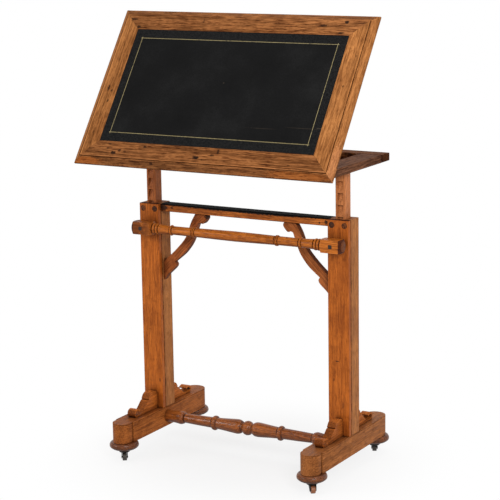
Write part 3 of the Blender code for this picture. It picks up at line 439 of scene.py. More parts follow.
def oak(name, pale, deep, grain, turn=0.0, lean=0.0, gloss=0.46, sheen=0.12, open_grain=0.6, crease_shade=0.92,
        endwood_and_shade=0.0, under_shade=-0.1, marks=(), dark_lines=(), worn=(), ends=None, patches=(), patch=None):
    """Waxed oak: fine lines and open pores along one axis, rubbed arrises, soiling, and painted shade in creases,
    near other parts and on faces turned down.

    Dark lines (soiled joints, and painted shade in grooves, quirks and on hidden inner faces) and pale lines
    (worn arrises, on the board also a painted highlight) are each (axis, place, half width, strength).
    Ends are (axis, start, stop, flat): darker from start to stop and a little less dark past flat.
    Patches have their own colour.
    """
    made, tree, surface = blank(name)
    texture = put(tree, "TexCoord", {})
    place = texture.outputs["Object"]
    laid = put(tree, "Mapping", {"Vector": place, "Rotation": (turn, lean, 0.0)}).outputs[0]
    drift = put(tree, "TexNoise", {"Vector": laid, "Scale": 6.0, "Detail": 2.0}).outputs["Color"]
    bent = put(tree, "VectorMath", {0: drift, 1: GRAIN_DRIFT, 2: laid}, operation="MULTIPLY_ADD").outputs[0]
    along = put(tree, "Mapping", {"Vector": bent, "Scale": drawn_out(grain, 0.05)}).outputs[0]
    short = put(tree, "Mapping", {"Vector": bent, "Scale": drawn_out(grain, 0.075)}).outputs[0]

    figure = noise(tree, along, 48.0, 2.0, 0.5, 0.2)
    lines = noise(tree, along, 300.0, 3.0, 0.66)
    tone = reckon(tree, "MULTIPLY_ADD", lines, 0.7, product(tree, figure, 0.3))
    mid = tuple(0.52 * a + 0.48 * b for a, b in zip(pale, deep))
    wood = ramp(tree, spread(tree, tone, 0.37, 0.63), ((0.0, deep), (0.5, mid), (1.0, pale)))
    if patches:
        wood = tinted(tree, "MIX", spots(tree, laid, patches), wood, (*patch, 1.0))
    strokes = spread(tree, noise(tree, short, 440.0, 2.0, 0.6), 0.52, 0.64)
    wood = tinted(tree, "MULTIPLY", product(tree, strokes, open_grain), wood, STROKE_BROWN)
    pores = spread(tree, noise(tree, short, 1100.0, 2.0, 0.5), 0.54, 0.66)
    wood = tinted(tree, "MULTIPLY", product(tree, pores, 0.5), wood, PORE_BROWN)
    wood = tinted(tree, "MULTIPLY", 1.0, wood, ramp(tree, noise(tree, laid, 11.0, 4.0, 0.6), BLOTCHES))

    arris = spread(tree, openness(tree, 0.0028, 6, inside=True), 0.4, 0.8, 0.55, 0.0)
    rubbed = product(tree, arris, spread(tree, noise(tree, laid, 28.0, 3.0), 0.42, 0.6))
    wood = tinted(tree, "MIX", rubbed, wood, lighter(pale, 1.25))
    laid_at = put(tree, "SeparateXYZ", {"Vector": laid})
    broken = spread(tree, noise(tree, laid, 55.0, 2.0), 0.4, 0.56, 0.45, 1.0)
    # Pale lines of wear; on the board's quirks and left bevel they are also a painted highlight
    for line in worn:
        wood = tinted(tree, "MIX", ruled(tree, laid_at, line, broken), wood, lighter(pale, 1.35))

    facing = put(tree, "SeparateXYZ", {"Vector": texture.outputs["Normal"]})
    # Darkening: painted shade in creases and near other parts, with some soiling there; a cloud of soiling;
    # painted shade on faces turned down; then the dark lines and the darker end wood
    layers = [product(tree, spread(tree, openness(tree, 0.009), 0.34, 0.86, 1.0, 0.0), crease_shade),
              product(tree, spread(tree, openness(tree, 0.04), 0.35, 0.95, 0.52, 0.0), crease_shade),
              spread(tree, noise(tree, laid, 42.0, 3.0), 0.54, 0.72, 0.0, 0.26),
              spread(tree, facing.outputs["Z"], -0.8, under_shade, 0.7, 0.0)]
    layers += [ruled(tree, laid_at, line, broken) for line in dark_lines]
    if endwood_and_shade:
        across = reckon(tree, "ABSOLUTE", facing.outputs[grain])
        layers.append(spread(tree, across, 0.15, 0.75, 0.0, endwood_and_shade))
    if ends:
        axis, start, stop, flat = ends
        out = reckon(tree, "ABSOLUTE", put(tree, "SeparateXYZ", {"Vector": place}).outputs[axis])
        layers.append(product(tree, spread(tree, out, start, stop, 0.0, 0.98),
                              spread(tree, out, flat - 0.0006, flat, 1.0, 0.8)))
    soil_and_shade = greatest(tree, layers)
    wood = tinted(tree, "MULTIPLY", soil_and_shade, wood, SOIL_AND_SHADE_BROWN)
    # Knots and stains, with painted shade in hollows and tight corners among these marks
    if marks:
        wood = tinted(tree, "MIX", spots(tree, laid, marks), wood, KNOT_AND_SHADE_BLACK)

    rough = reckon(tree, "MULTIPLY_ADD", lines, 0.22, gloss - 0.11)
    rough = reckon(tree, "MULTIPLY_ADD", soil_and_shade, 0.3, rough)
    height = reckon(tree, "MULTIPLY_ADD", strokes, -0.8, product(tree, lines, 0.7))
    dressed(tree, surface, wood, rough, height, 0.35, 0.0005)
    surface.inputs["Specular IOR Level"].default_value = sheen
    return made


RUBBED_HIDE = ((0.36, (0.0036, 0.0036, 0.0037)), (0.56, (0.0064, 0.0064, 0.0065)),
               (0.74, (0.013, 0.013, 0.013)))
PEBBLED_HIDE = ((0.4, (0.0036, 0.0037, 0.004)), (0.62, (0.017, 0.0166, 0.0162)))
SCRATCH_TAN = (0.07, 0.054, 0.038, 1.0)
MARGIN_EDGE = 0.001          # over which the pebbled margin gives way to the rubbed middle


def writing_leather(name, sheen, scratches=()):
    """Black hide with a fine pebble. The board's is rubbed grey inside the gilt line, and scratched."""
    made, tree, surface = blank(name)
    place = put(tree, "TexCoord", {}).outputs["Object"]
    laid = put(tree, "Mapping", {"Vector": place, "Rotation": (-BOARD_TILT, 0.0, 0.0)}).outputs[0]
    cells = put(tree, "TexVoronoi", {"Vector": laid, "Scale": 780.0}, feature="DISTANCE_TO_EDGE")
    pebble = spread(tree, cells.outputs["Distance"], 0.0, 0.28)
    rub = noise(tree, laid, 7.0, 5.0, 0.62)
    fleck = noise(tree, laid, 420.0, 2.0)
    hide = ramp(tree, reckon(tree, "MULTIPLY_ADD", fleck, 0.36, product(tree, rub, 0.72)), RUBBED_HIDE)
    if scratches:
        laid_at = put(tree, "SeparateXYZ", {"Vector": laid})
        side = reckon(tree, "ABSOLUTE", laid_at.outputs["X"])
        rise = reckon(tree, "SUBTRACT", laid_at.outputs["Y"], level(0.0, GILT_MIDDLE)[1])
        rise = reckon(tree, "ABSOLUTE", rise)
        margin = greatest(tree, [spread(tree, out, half - MARGIN_EDGE, half + MARGIN_EDGE)
                                 for out, half in ((side, GILT_LENGTH), (rise, GILT_RISE))])
        hide = tinted(tree, "MIX", product(tree, margin, 0.8), hide, ramp(tree, fleck, PEBBLED_HIDE))
        hide = tinted(tree, "MIX", spots(tree, laid, scratches), hide, SCRATCH_TAN)
    rough = reckon(tree, "MULTIPLY_ADD", rub, 0.22, 0.58)
    dressed(tree, surface, hide, rough, reckon(tree, "MULTIPLY_ADD", fleck, 0.4, pebble), 0.22, 0.0003)
    surface.inputs["Specular IOR Level"].default_value = sheen
    return made


GOLD_LEAF = ((0.3, (0.2, 0.155, 0.062)), (0.7, (0.31, 0.25, 0.105)))
WORN_LEAF = (0.06, 0.046, 0.022, 1.0)


def gilt_tooling(name):
    """Gold leaf pressed into the leather, rubbed away in places."""
    made, tree, surface = blank(name)
    place = put(tree, "TexCoord", {}).outputs["Object"]
    worn = spread(tree, noise(tree, place, 95.0, 4.0, 0.65), 0.55, 0.7, 0.0, 0.85)
    leaf = ramp(tree, noise(tree, place, 320.0, 2.0), GOLD_LEAF)
    leaf = tinted(tree, "MIX", worn, leaf, WORN_LEAF)
    dressed(tree, surface, leaf, spread(tree, worn, 0.0, 1.0, 0.42, 0.62))
    surface.inputs["Metallic"].default_value = 0.15
    return made


TARNISH = (0.22, 0.15, 0.1, 1.0)


def old_metal(name, bright, dark, metallic, low, high):
    """Metal with a brown tarnish that lies thickest in the creases, and a roughness from low to high."""
    made, tree, surface = blank(name)
    place = put(tree, "TexCoord", {}).outputs["Object"]
    cloud = noise(tree, place, 70.0, 5.0, 0.65)
    pits = noise(tree, place, 620.0, 3.0, 0.6)
    tone = reckon(tree, "MULTIPLY_ADD", pits, 0.4, product(tree, cloud, 0.6))
    metal = ramp(tree, tone, ((0.34, dark), (0.66, bright)))
    crease = spread(tree, openness(tree, 0.006), 0.3, 0.9, 0.7, 0.0)
    metal = tinted(tree, "MULTIPLY", crease, metal, TARNISH)
    dressed(tree, surface, metal, spread(tree, cloud, 0.3, 0.7, low, high), pits, 0.25, 0.0003)
    surface.inputs["Metallic"].default_value = metallic
    surface.inputs["Specular IOR Level"].default_value = 0.28
    return made


# Knots, nicks, stains, grooves and worn lines, each where the stand has it; the grooves, hollows and quirks hold
# painted shade, and some worn lines are also a painted highlight

def board_marks(rows, height=BOARD_FACE, depth=8):
    """Marks on the board, from rows of (along, up the slope, half length, half width, strength), in mm."""
    return tuple((level(x * MM, y * MM, height), (long * MM, wide * MM, depth * MM), strength)
                 for x, y, long, wide, strength in rows)


def face_marks(y, rows):
    """Marks on an upright face, from rows of (x, z, half sizes, strength), in mm."""
    return tuple(((x * MM, y, z * MM), tuple(size * MM for size in sizes), strength)
                 for x, z, sizes, strength in rows)


def board_line(up, half, strength):
    """A line along the board at a place up its slope."""
    return ("Y", level(0.0, up)[1], half, strength)


def grooves(places, half):
    """Soiling and painted shade in the grooves of a turned piece, the same on both sides of its middle."""
    return tuple(("X", way * place, half, 0.95) for place in places for way in (-1, 1))


def hollow_shade(corner):
    """Painted shade in the hollow inside the hook of a console's tail."""
    low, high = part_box(corner + "_console")
    tail = low.y + CONSOLE_ROLL if corner.endswith("front") else high.y - CONSOLE_ROLL
    return ((low.x + high.x) / 2, tail, low.z + 0.95 * CONSOLE_ROLL), (0.03, 0.0105, 0.0046), 0.85


FRONT_KNOTS = board_marks((
    (-261.5, 18.2, 11, 6.5, 0.9), (-245, 25.9, 7, 5, 0.8), (-279, 42.7, 6, 4, 0.65),
    (-282.4, 30.6, 6, 4, 0.65), (-228, 24.5, 5, 3, 0.6), (-170.7, 40, 7, 3.5, 0.95),
    (-11.9, 20.5, 13, 6.5, 0.95), (8, 16.3, 4, 3, 0.6), (33.3, 30.8, 8, 4.5, 0.75),
    (48.4, 41.7, 4.5, 9, 0.75), (256.7, 17.4, 6, 3, 0.6), (-342, 418.8, 20, 5, 0.7),
    (-316.8, 396, 8, 6, 0.85), (299, 426.7, 9, 6, 0.95), (235.7, 415.5, 15, 4, 0.85),
    (290.1, 395.5, 12, 4, 0.85), (-119.6, 419.3, 4, 9, 0.45),
))
FRONT_KNOTS += board_marks(((-141, -2.9, 7, 4, 0.85),), BEVEL_FACE, 12)
FRONT_KNOTS += board_marks(((-75, -6, 260, 14, 0.27),), BEVEL_FACE, 16)
SIDE_KNOTS = board_marks((
    (-344.5, 207.4, 5, 12, 0.8), (-332, 200, 3, 6, 0.8), (-334, 169.1, 4, 7, 0.7),
    (340.4, 243.8, 3, 4, 0.8), (352, 330, 3, 6, 0.45), (-345, 75, 3, 6, 0.5),
))
BEVEL_PATCHES = board_marks(((-350, -6, 75, 13, 0.62), (290, -6, 130, 13, 0.42)), BEVEL_FACE, 16)
SIDE_PATCHES = board_marks(((373, 30, 13, 80, 0.45),), BEVEL_FACE, 18)
SCRATCHES = board_marks(((150, 114.5, 55, 1.1, 0.3), (270, 121.5, 65, 1, 0.4), (0, 237.7, 3, 3, 0.45),
                         (310, 124, 14, 1.2, 0.7)), depth=6)
POST_MARKS = face_marks(STAND_Y - POST_HALF, (
    (284.5, 308.5, (8, 6, 3), 0.85), (274.8, 257, (3, 6, 6), 0.5),
    (300.8, 192.6, (2, 6, 14), 0.6), (-267.2, 187.2, (3, 6, 8), 0.5),
    (-295.7, 326.9, (2, 6, 10), 0.45), (-272, 460, (2, 6, 16), 0.4),
))
SIDE_MARKS = (((0.3185, STAND_Y - 0.012, 0.51), (0.004, 0.002, 0.03), 0.5),
              ((-0.2585, STAND_Y - 0.01, 0.45), (0.004, 0.003, 0.012), 0.5))
LEATHER_LAP = ((0.0, rail_low.y, rail_high.z), (0.3, 0.006, 0.0046), 1.0)
# The marks at the rail's ends, where it meets the posts, are soiling and painted shade
RAIL_MARKS = face_marks(STAND_Y - RAIL_HALF, (
    (247, 672, (7, 6, 8), 0.9), (229, 669, (4, 4, 4), 0.85),
    (-249, 673, (17, 8, 14), 0.9), (-222, 674, (6, 6, 5), 0.7),
    (100, 663, (30, 4, 3), 0.6), (-120, 667, (50, 4, 2), 0.5),
)) + (LEATHER_LAP,)
# Painted shade at the left brace's toe, where it meets the rail
LEFT_TOE = Matrix.Rotation(BRACE_LEAN, 3, "Y") @ Vector((brace_high.x, brace_low.y, brace_high.z - 0.006))
TOE_SHADE = (LEFT_TOE, (0.011, 0.03, 0.011), 0.85)
# Painted shade in the consoles' hollows
HOLLOW_SHADES = tuple(hollow_shade(corner) for corner in CORNERS)

# Soiling and painted shade in the grooves of the pull bar and of the stretcher
BAR_GROOVES = grooves((0.1215, 0.1313, BAR_INNER - 0.0633, BAR_INNER - 0.0557, BAR_INNER - 0.0199,
                       BAR_INNER - 0.0113, BAR_INNER - 0.0012), 0.0015)
DARK_BAR_END = ("X", -BAR_END, 0.09, 0.74)
STRETCHER_GROOVES = grooves((0.0162, 0.0955, 0.1107, STRETCHER_END - 0.0577), 0.0026)
FOOT_RIM = ("Z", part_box("left_foot")[1].z - 0.0021, 0.0015, 0.7)
FRONT_SEAM = ("Y", front_high.y, 0.0022, 0.95)
POST_SEAMS = (("Y", post_low.y, 0.0026, 0.95), ("Y", post_high.y - 0.0022, 0.0014, 0.6))
# Painted shade in the board's quirk grooves, with broader darker bands across the members; pale lines of wear with
# a painted highlight along the quirks and on the left bevel
QUIRK_SHADE_LINES = (board_line(0.0047, 0.001, 0.85), board_line(0.4355, 0.001, 0.85),
               board_line(-0.0045, 0.012, 0.2), ("X", -0.2, 0.43, 0.3))
QUIRK_WEAR_AND_HIGHLIGHT = board_line(0.0068, 0.0012, 0.75)
QUIRK_SHADE_SIDES = (("X", -0.3652, 0.0032, 0.8), ("X", 0.3629, 0.0009, 0.75), ("X", -0.345, 0.09, 0.2),
               ("X", -0.32, 0.013, 0.4), ("X", -0.342, 0.0034, 0.55))
SIDE_WEAR_AND_HIGHLIGHTS = (("X", -0.3604, 0.0018, 0.8), ("X", -0.373, 0.005, 0.4), ("X", 0.3604, 0.0009, 0.5))
frame_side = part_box("underframe_right_rail")[0].x
frame_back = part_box("underframe_back_rail")[0].y
# Painted shade on the inner faces of the underframe's side rails
FRAME_INNER_SHADE = tuple(("X", way * frame_side, 0.004, 0.97) for way in (-1, 1))

# The finishes themselves, each with its pale and its deep colour, and with how much painted shade it takes in
# creases and below

POST_OAK = oak("waxed_oak_upright", (0.55, 0.145, 0.0185), (0.33, 0.079, 0.0093), "Z", open_grain=0.32,
               marks=POST_MARKS, dark_lines=(FRONT_SEAM,),
               ends=("Z", POST_TOP - 0.0013, POST_TOP - 0.0003, POST_TOP + 0.001))
SIDE_OAK = oak("waxed_oak_post", (0.54, 0.207, 0.059), (0.32, 0.114, 0.031), "Z", sheen=0.07,
               open_grain=0.38, marks=SIDE_MARKS, dark_lines=POST_SEAMS)
# The left slide's finish is a darker copy of the right one's: painted shade from the board above it
SLIDES_LIT_AND_SHADED = {
    "left": oak("waxed_oak_shaded_left_slide", (0.5, 0.15, 0.041), (0.305, 0.084, 0.021), "Z",
                open_grain=0.35, crease_shade=0.1),
    "right": oak("waxed_oak_right_slide", (0.68, 0.245, 0.082), (0.42, 0.139, 0.043), "Z",
                 open_grain=0.35, crease_shade=0.1),
}
FOOT_OAKS = {
    "left": oak("waxed_oak_left_foot", (0.46, 0.142, 0.031), (0.235, 0.067, 0.014), "Y", sheen=0.07,
                open_grain=0.42, dark_lines=(FOOT_RIM,)),
    "right": oak("waxed_oak_right_foot", (0.45, 0.16, 0.045), (0.24, 0.08, 0.021), "Y", sheen=0.07,
                 open_grain=0.42, dark_lines=(FOOT_RIM,)),
}
SCROLL_OAK = oak("waxed_oak_scroll", (0.62, 0.176, 0.028), (0.31, 0.083, 0.012), "Y", open_grain=0.4,
                 endwood_and_shade=0.62, marks=HOLLOW_SHADES)
RAIL_OAK = oak("waxed_oak_rail", (0.64, 0.19, 0.031), (0.32, 0.082, 0.012), "X", marks=RAIL_MARKS)
BRACE_OAKS = {
    "left": oak("waxed_oak_left_brace", (0.43, 0.121, 0.031), (0.22, 0.059, 0.015), "X", lean=BRACE_LEAN,
                sheen=0.07, marks=(TOE_SHADE,)),
    # The right brace's faces turned along X are darkened: painted shade
    "right": oak("waxed_oak_right_brace", (0.48, 0.146, 0.04), (0.25, 0.072, 0.019), "X", lean=-BRACE_LEAN,
                 sheen=0.07, endwood_and_shade=0.6),
}
BAR_OAK = oak("turned_oak_bar", (0.62, 0.18, 0.023), (0.35, 0.092, 0.01), "X", gloss=0.28, sheen=0.14,
              open_grain=0.5, crease_shade=1.0, dark_lines=BAR_GROOVES + (DARK_BAR_END,),
              ends=("X", BAR_END - 0.0085, BAR_END - 0.0062, BAR_END - 0.0002))
# The stretcher and the buns are painted darker on faces turned down than the rest: painted shade
STRETCHER_OAK = oak("turned_oak_stretcher", (0.43, 0.122, 0.022), (0.18, 0.046, 0.008), "X", gloss=0.2,
                    sheen=0.26, open_grain=0.66, crease_shade=1.0, under_shade=0.35, dark_lines=STRETCHER_GROOVES)
BUN_OAK = oak("turned_oak_bun", (0.27, 0.087, 0.027), (0.11, 0.033, 0.01), "X", gloss=0.26, sheen=0.22,
              crease_shade=1.0, under_shade=0.1)
LONG_OAK = oak("board_oak_long", (0.45, 0.175, 0.056), (0.145, 0.05, 0.014), "X", -BOARD_TILT, gloss=0.6,
               sheen=0.04, open_grain=0.92, marks=FRONT_KNOTS, dark_lines=QUIRK_SHADE_LINES, worn=(QUIRK_WEAR_AND_HIGHLIGHT,),
               patches=BEVEL_PATCHES, patch=(0.56, 0.16, 0.028))
SHORT_OAK = oak("board_oak_short", (0.53, 0.212, 0.064), (0.26, 0.096, 0.026), "Y", -BOARD_TILT, gloss=0.6,
                sheen=0.04, open_grain=0.55, marks=SIDE_KNOTS, dark_lines=QUIRK_SHADE_SIDES, worn=SIDE_WEAR_AND_HIGHLIGHTS,
                patches=SIDE_PATCHES, patch=(0.78, 0.33, 0.14))
# The dark line on the back rail is painted shade on its inner face
FRAME_OAK_X = oak("dark_oak_frame_long", (0.22, 0.08, 0.027), (0.095, 0.032, 0.011), "X", gloss=0.62,
                  sheen=0.03, endwood_and_shade=0.55, dark_lines=(("Y", frame_back, 0.004, 0.97),))
FRAME_OAK_Y = oak("dark_oak_frame_short", (0.25, 0.106, 0.053), (0.08, 0.032, 0.016), "Y", gloss=0.62,
                  sheen=0.03, open_grain=0.8, dark_lines=FRAME_INNER_SHADE)
PEG_OAK = oak("dark_oak_peg", (0.11, 0.037, 0.015), (0.03, 0.012, 0.007), "Y", gloss=0.5)
WORN_PEG_OAK = oak("brown_oak_peg", (0.25, 0.074, 0.019), (0.034, 0.013, 0.007), "Y", gloss=0.5,
                   open_grain=0.9)
PANEL_PINE = oak("inner_pine_panel", (0.4, 0.21, 0.085), (0.24, 0.115, 0.042), "X", -BOARD_TILT, gloss=0.55)
PROP_PINE = oak("inner_pine_prop", (0.36, 0.18, 0.068), (0.2, 0.09, 0.032), "Y", -BOARD_TILT, gloss=0.5)
BOARD_LEATHER = writing_leather("black_leather_board", 0.05, SCRATCHES)
RAIL_LEATHER = writing_leather("black_leather_rail", 0.02)
GILT = gilt_tooling("gilt_line")
IRON = old_metal("dark_iron", (0.024, 0.02, 0.018), (0.008, 0.007, 0.006), 0.0, 0.46, 0.66)
PIN_IRON = old_metal("dark_iron_pin", (0.034, 0.022, 0.017), (0.01, 0.007, 0.006), 0.0, 0.55, 0.75)
BRASS = old_metal("aged_brass", (0.46, 0.31, 0.11), (0.2, 0.12, 0.045), 1.0, 0.28, 0.5)
WHEEL = old_metal("caster_wheel_brown", (0.42, 0.165, 0.075), (0.19, 0.072, 0.035), 0.1, 0.34, 0.55)
DARK_WHEEL = old_metal("caster_wheel_dark", (0.09, 0.08, 0.07), (0.022, 0.018, 0.015), 0.25, 0.34, 0.55)

# Which finish and which slot of the record each CAD node has
NODE_FINISHES = {}


def note(slot, finish, *nodes):
    for node in nodes:
        NODE_FINISHES[node] = (slot, finish)


for side in SIDES:
    note("waxed_oak", SIDE_OAK, side + "_post")
    note("waxed_oak", POST_OAK, side + "_post_front")
    note("waxed_oak", SLIDES_LIT_AND_SHADED[side], side + "_slide")
    note("waxed_oak", FOOT_OAKS[side], side + "_foot")
    note("waxed_oak", BRACE_OAKS[side], side + "_bracket")
    note("dark_oak", PEG_OAK, side + "_post_inner_peg")
    note("dark_oak", WORN_PEG_OAK, side + "_post_outer_peg")
    note("dark_iron", PIN_IRON, side + "_lock_pin")
    note("dark_oak", FRAME_OAK_Y, f"underframe_{side}_rail")
    note("board_oak", SHORT_OAK, f"board_{side}_member")
    note("inner_pine", PROP_PINE, side + "_board_batten", side + "_prop_arm")
    note("aged_brass", BRASS, side + "_hinge_lower_leaf", side + "_hinge_upper_leaf")
for end in ENDS:
    note("dark_oak", FRAME_OAK_X, f"underframe_{end}_rail")
    note("board_oak", LONG_OAK, f"board_{end}_member")
for corner in CORNERS:
    note("waxed_oak", SCROLL_OAK, corner + "_console")
    note("turned_oak", BUN_OAK, corner + "_bun")
    note("dark_iron", IRON, corner + "_caster_plate", corner + "_caster_fork")
    note("caster_wheel", DARK_WHEEL if corner in DARK_CASTERS else WHEEL, corner + "_caster_wheel")
note("waxed_oak", RAIL_OAK, "cross_rail")
note("turned_oak", STRETCHER_OAK, "stretcher")
note("turned_oak", BAR_OAK, "pull_bar")
note("inner_pine", PANEL_PINE, "board_panel", "prop_foot_rod")
note("black_leather", BOARD_LEATHER, "board_leather")
note("black_leather", RAIL_LEATHER, "rail_leather")

BODY_OF = {node: body for body, nodes in frame["record"]["behaviour"]["bodies"].items() for node in nodes}
for node, (slot, finish) in NODE_FINISHES.items():
    for holder in frame["nodes"][node].material_slots:
        holder.material = finish


def stands_for(piece, node):
    """The piece takes the CAD node's finish, moves as it does, and is shown in its place."""
    slot, finish = NODE_FINISHES[node]
    piece.data.materials.clear()
    piece.data.materials.append(finish)
    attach(piece, BODY_OF[node])
    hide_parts(node)


# Feet: a bar with a plain round back and a narrower round nose in front, set off by a quirk

def arc(radius, forward, sweep):
    """A round end in plan, about a point forward of the middle."""
    return [(radius * cos(radians(a)), forward + radius * sin(radians(a))) for a in range(0, sweep + 1, 6)]


def foot(side):
    low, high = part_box(side + "_foot")
    x, y = (low.x + high.x) / 2, STAND_Y
    bun_y = middle(side + "_back_bun").y - y
    nose = bun_y + 0.006
    quirk = [(POST_HALF, nose - 0.0135, SHARP), (0.0285, nose - 0.0112), (0.0255, nose - 0.0102, SHARP),
             (0.024, nose - 0.009), (0.0255, nose - 0.0072, SHARP), (NOSE_RADIUS, nose - 0.006, SHARP)]
    front = flowing(quirk, 3) + arc(NOSE_RADIUS, nose, 90)
    front = front + [(-px, py) for px, py in reversed(front[:-1])]
    plan = arc(POST_HALF, bun_y, 180) + [(-px, -py) for px, py in front]
    points = [(x + px, y + py, low.z) for px, py in plan]
    return sawn(side + "_foot_bar", points, (0.0, 0.0, high.z - low.z), FOOT_EDGE)


for side in SIDES:
    stands_for(foot(side), side + "_foot")


# Bun feet: a flattened round under each end of a foot, with a spigot let into it

def bun(node, name):
    low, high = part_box(node)
    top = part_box("left_foot")[0].z - FIT
    bottom = low.z
    radius = (high.x - low.x) / 2
    shares = [(0.56, 1.0, SHARP), (0.69, 0.945), (0.83, 0.83), (0.97, 0.62), (1.0, 0.4), (0.955, 0.14),
              (0.86, 0.0, SHARP)]
    knots = [(top - down * (top - bottom), out * radius, *corner) for out, down, *corner in shares]
    spigot = [(top, 0.01), (top + 0.0155, 0.01), (top + 0.0155, 0.003)]
    profile = [(bottom, 0.004)] + flowing(knots, 5) + spigot
    return turned(name, profile, ((low.x + high.x) / 2, (low.y + high.y) / 2, 0.0), (0.0, 0.0, 1.0))


first_bun = bun("left_front_bun", "left_front_bun_foot")
for corner in CORNERS:
    node = corner + "_bun"
    stands_for(repeated(first_bun, node + "_foot", "left_front_bun", node), node)


# Scroll consoles: an upper lobe against the post, a stepped belly and a tail that curls back on the foot

def console():
    low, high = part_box("right_front_console")
    length, height = high.y - low.y, high.z - low.z
    lobe, roll, nick = 0.017, CONSOLE_ROLL, 0.006
    top = height - lobe
    eye = length - roll
    step = (2.65 * lobe, 0.68 * height)
    valley = eye - 2.2 * roll
    head = [(0.0, 0.0, SHARP), (0.0, top + 0.4 * lobe, SHARP), (0.45 * lobe, top + 0.84 * lobe),
            (1.2 * lobe, height), (2.15 * lobe, top + 0.66 * lobe), (step[0], step[1], SHARP)]
    belly = [(step[0] - 0.4 * nick, step[1] - 0.55 * nick, SHARP),
             (step[0] + 0.75 * nick, step[1] - 0.8 * nick),
             (step[0] + 0.5 * (valley - step[0]), 0.53 * step[1]), (valley, 0.5 * roll)]
    hook = [(-0.8, 0.34), (0.25, 0.55), (0.42, 1.05), (-0.1, 1.5), (-1.3, 1.3, SHARP), (-1.5, 1.6, SHARP),
            (-0.35, 2.0), (0.65, 1.7), (1.0, 1.0), (0.85, 0.45), (0.5, 0.0, SHARP)]
    curl = [(eye + out * roll, up * roll, *corner) for out, up, *corner in hook]
    points = [(low.x, high.y - a, low.z + b) for a, b in flowing(head + belly + curl, 6)]
    return sawn("right_front_scroll", points, (high.x - low.x, 0.0, 0.0), WAXED_EDGE)


first_console = console()
BACK_TO_FRONT = Matrix.Scale(-1.0, 4, Vector((0.0, 1.0, 0.0)))
for corner in CORNERS:
    node = corner + "_console"
    mirror = BACK_TO_FRONT if corner.endswith("back") else Matrix.Identity(4)
    stands_for(repeated(first_console, corner + "_scroll", "right_front_console", node, mirror), node)


# Brackets: a curved brace from each post up to the rail, with a lobe at each end

def brace():
    low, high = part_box("right_bracket")
    reach, drop = high.x - low.x, high.z - low.z
    upper = [(0.739, 0.0, SHARP), (0.636, 0.135), (0.512, 0.352), (0.304, 0.528), (0.071, 0.684),
             (0.0, 0.731, SHARP)]
    heel = [(0.0, 1.0, SHARP), (0.095, 0.912), (0.233, 0.819), (0.272, 0.766), (0.244, 0.725, SHARP)]
    under = [(0.346, 0.666), (0.495, 0.57), (0.65, 0.417), (0.74, 0.25)]
    toe = [(0.796, 0.14, SHARP), (0.841, 0.127), (0.912, 0.135), (1.0, 0.057), (0.979, 0.0, SHARP)]
    shares = upper + heel + under + toe
    points = [(high.x - u * reach, low.y, high.z - w * drop) for u, w in flowing(shares, 6)]
    return sawn("right_brace", points, (0.0, high.y - low.y, 0.0), WAXED_EDGE)


right_brace = brace()
LEFT_TO_RIGHT = Matrix.Scale(-1.0, 4, Vector((1.0, 0.0, 0.0)))
stands_for(copied(right_brace, "left_brace", LEFT_TO_RIGHT), "left_bracket")
stands_for(right_brace, "right_bracket")


# Lower stretcher: a ball between two vases, beads, slim shafts and a collar at each foot

def both_ways(half):
    """A profile from one end to the other, from the half that starts at the middle."""
    return [(-along, radius) for along, radius in reversed(half)] + half[1:]


def stretcher():
    vase = [(0, 20), (7.2, 18.2), (12, 14.2), (15, 13.2, SHARP), (17.5, 15, SHARP), (19, 15, SHARP),
            (19.5, 16.5), (24.5, 19), (31, 20), (45, 19.3), (70, 17.2), (90, 15.8), (95.5, 15.6, SHARP)]
    bead = [(96.8, 16.8), (99.5, 19.6), (103, 20.3), (106.5, 19.6), (109.2, 16.8), (110.5, 15.2, SHARP)]
    shaft = [(118, 14.9), (160, 14)]
    collar = [(-61, 12.8, SHARP), (-59, 11.2, SHARP), (-56.5, 11.2, SHARP), (-55, 15.3), (-50, 17.6),
              (-45, 18.5), (-38, 17.8), (-28, 16.8), (-16, 16.6), (0, 16.8, SHARP)]
    tenon = [(0, 10), (12, 10), (12, 3)]
    knots = millimetres(vase + bead + shaft) + millimetres(collar, STRETCHER_END)
    half = flowing(knots, 4) + millimetres(tenon, STRETCHER_END)
    return turned("stretcher_turning", both_ways(half), middle("stretcher"), (1.0, 0.0, 0.0))


stands_for(stretcher(), "stretcher")


# Pull bar: turned with rings and beads between two square blocks whose shoulders are nipped round

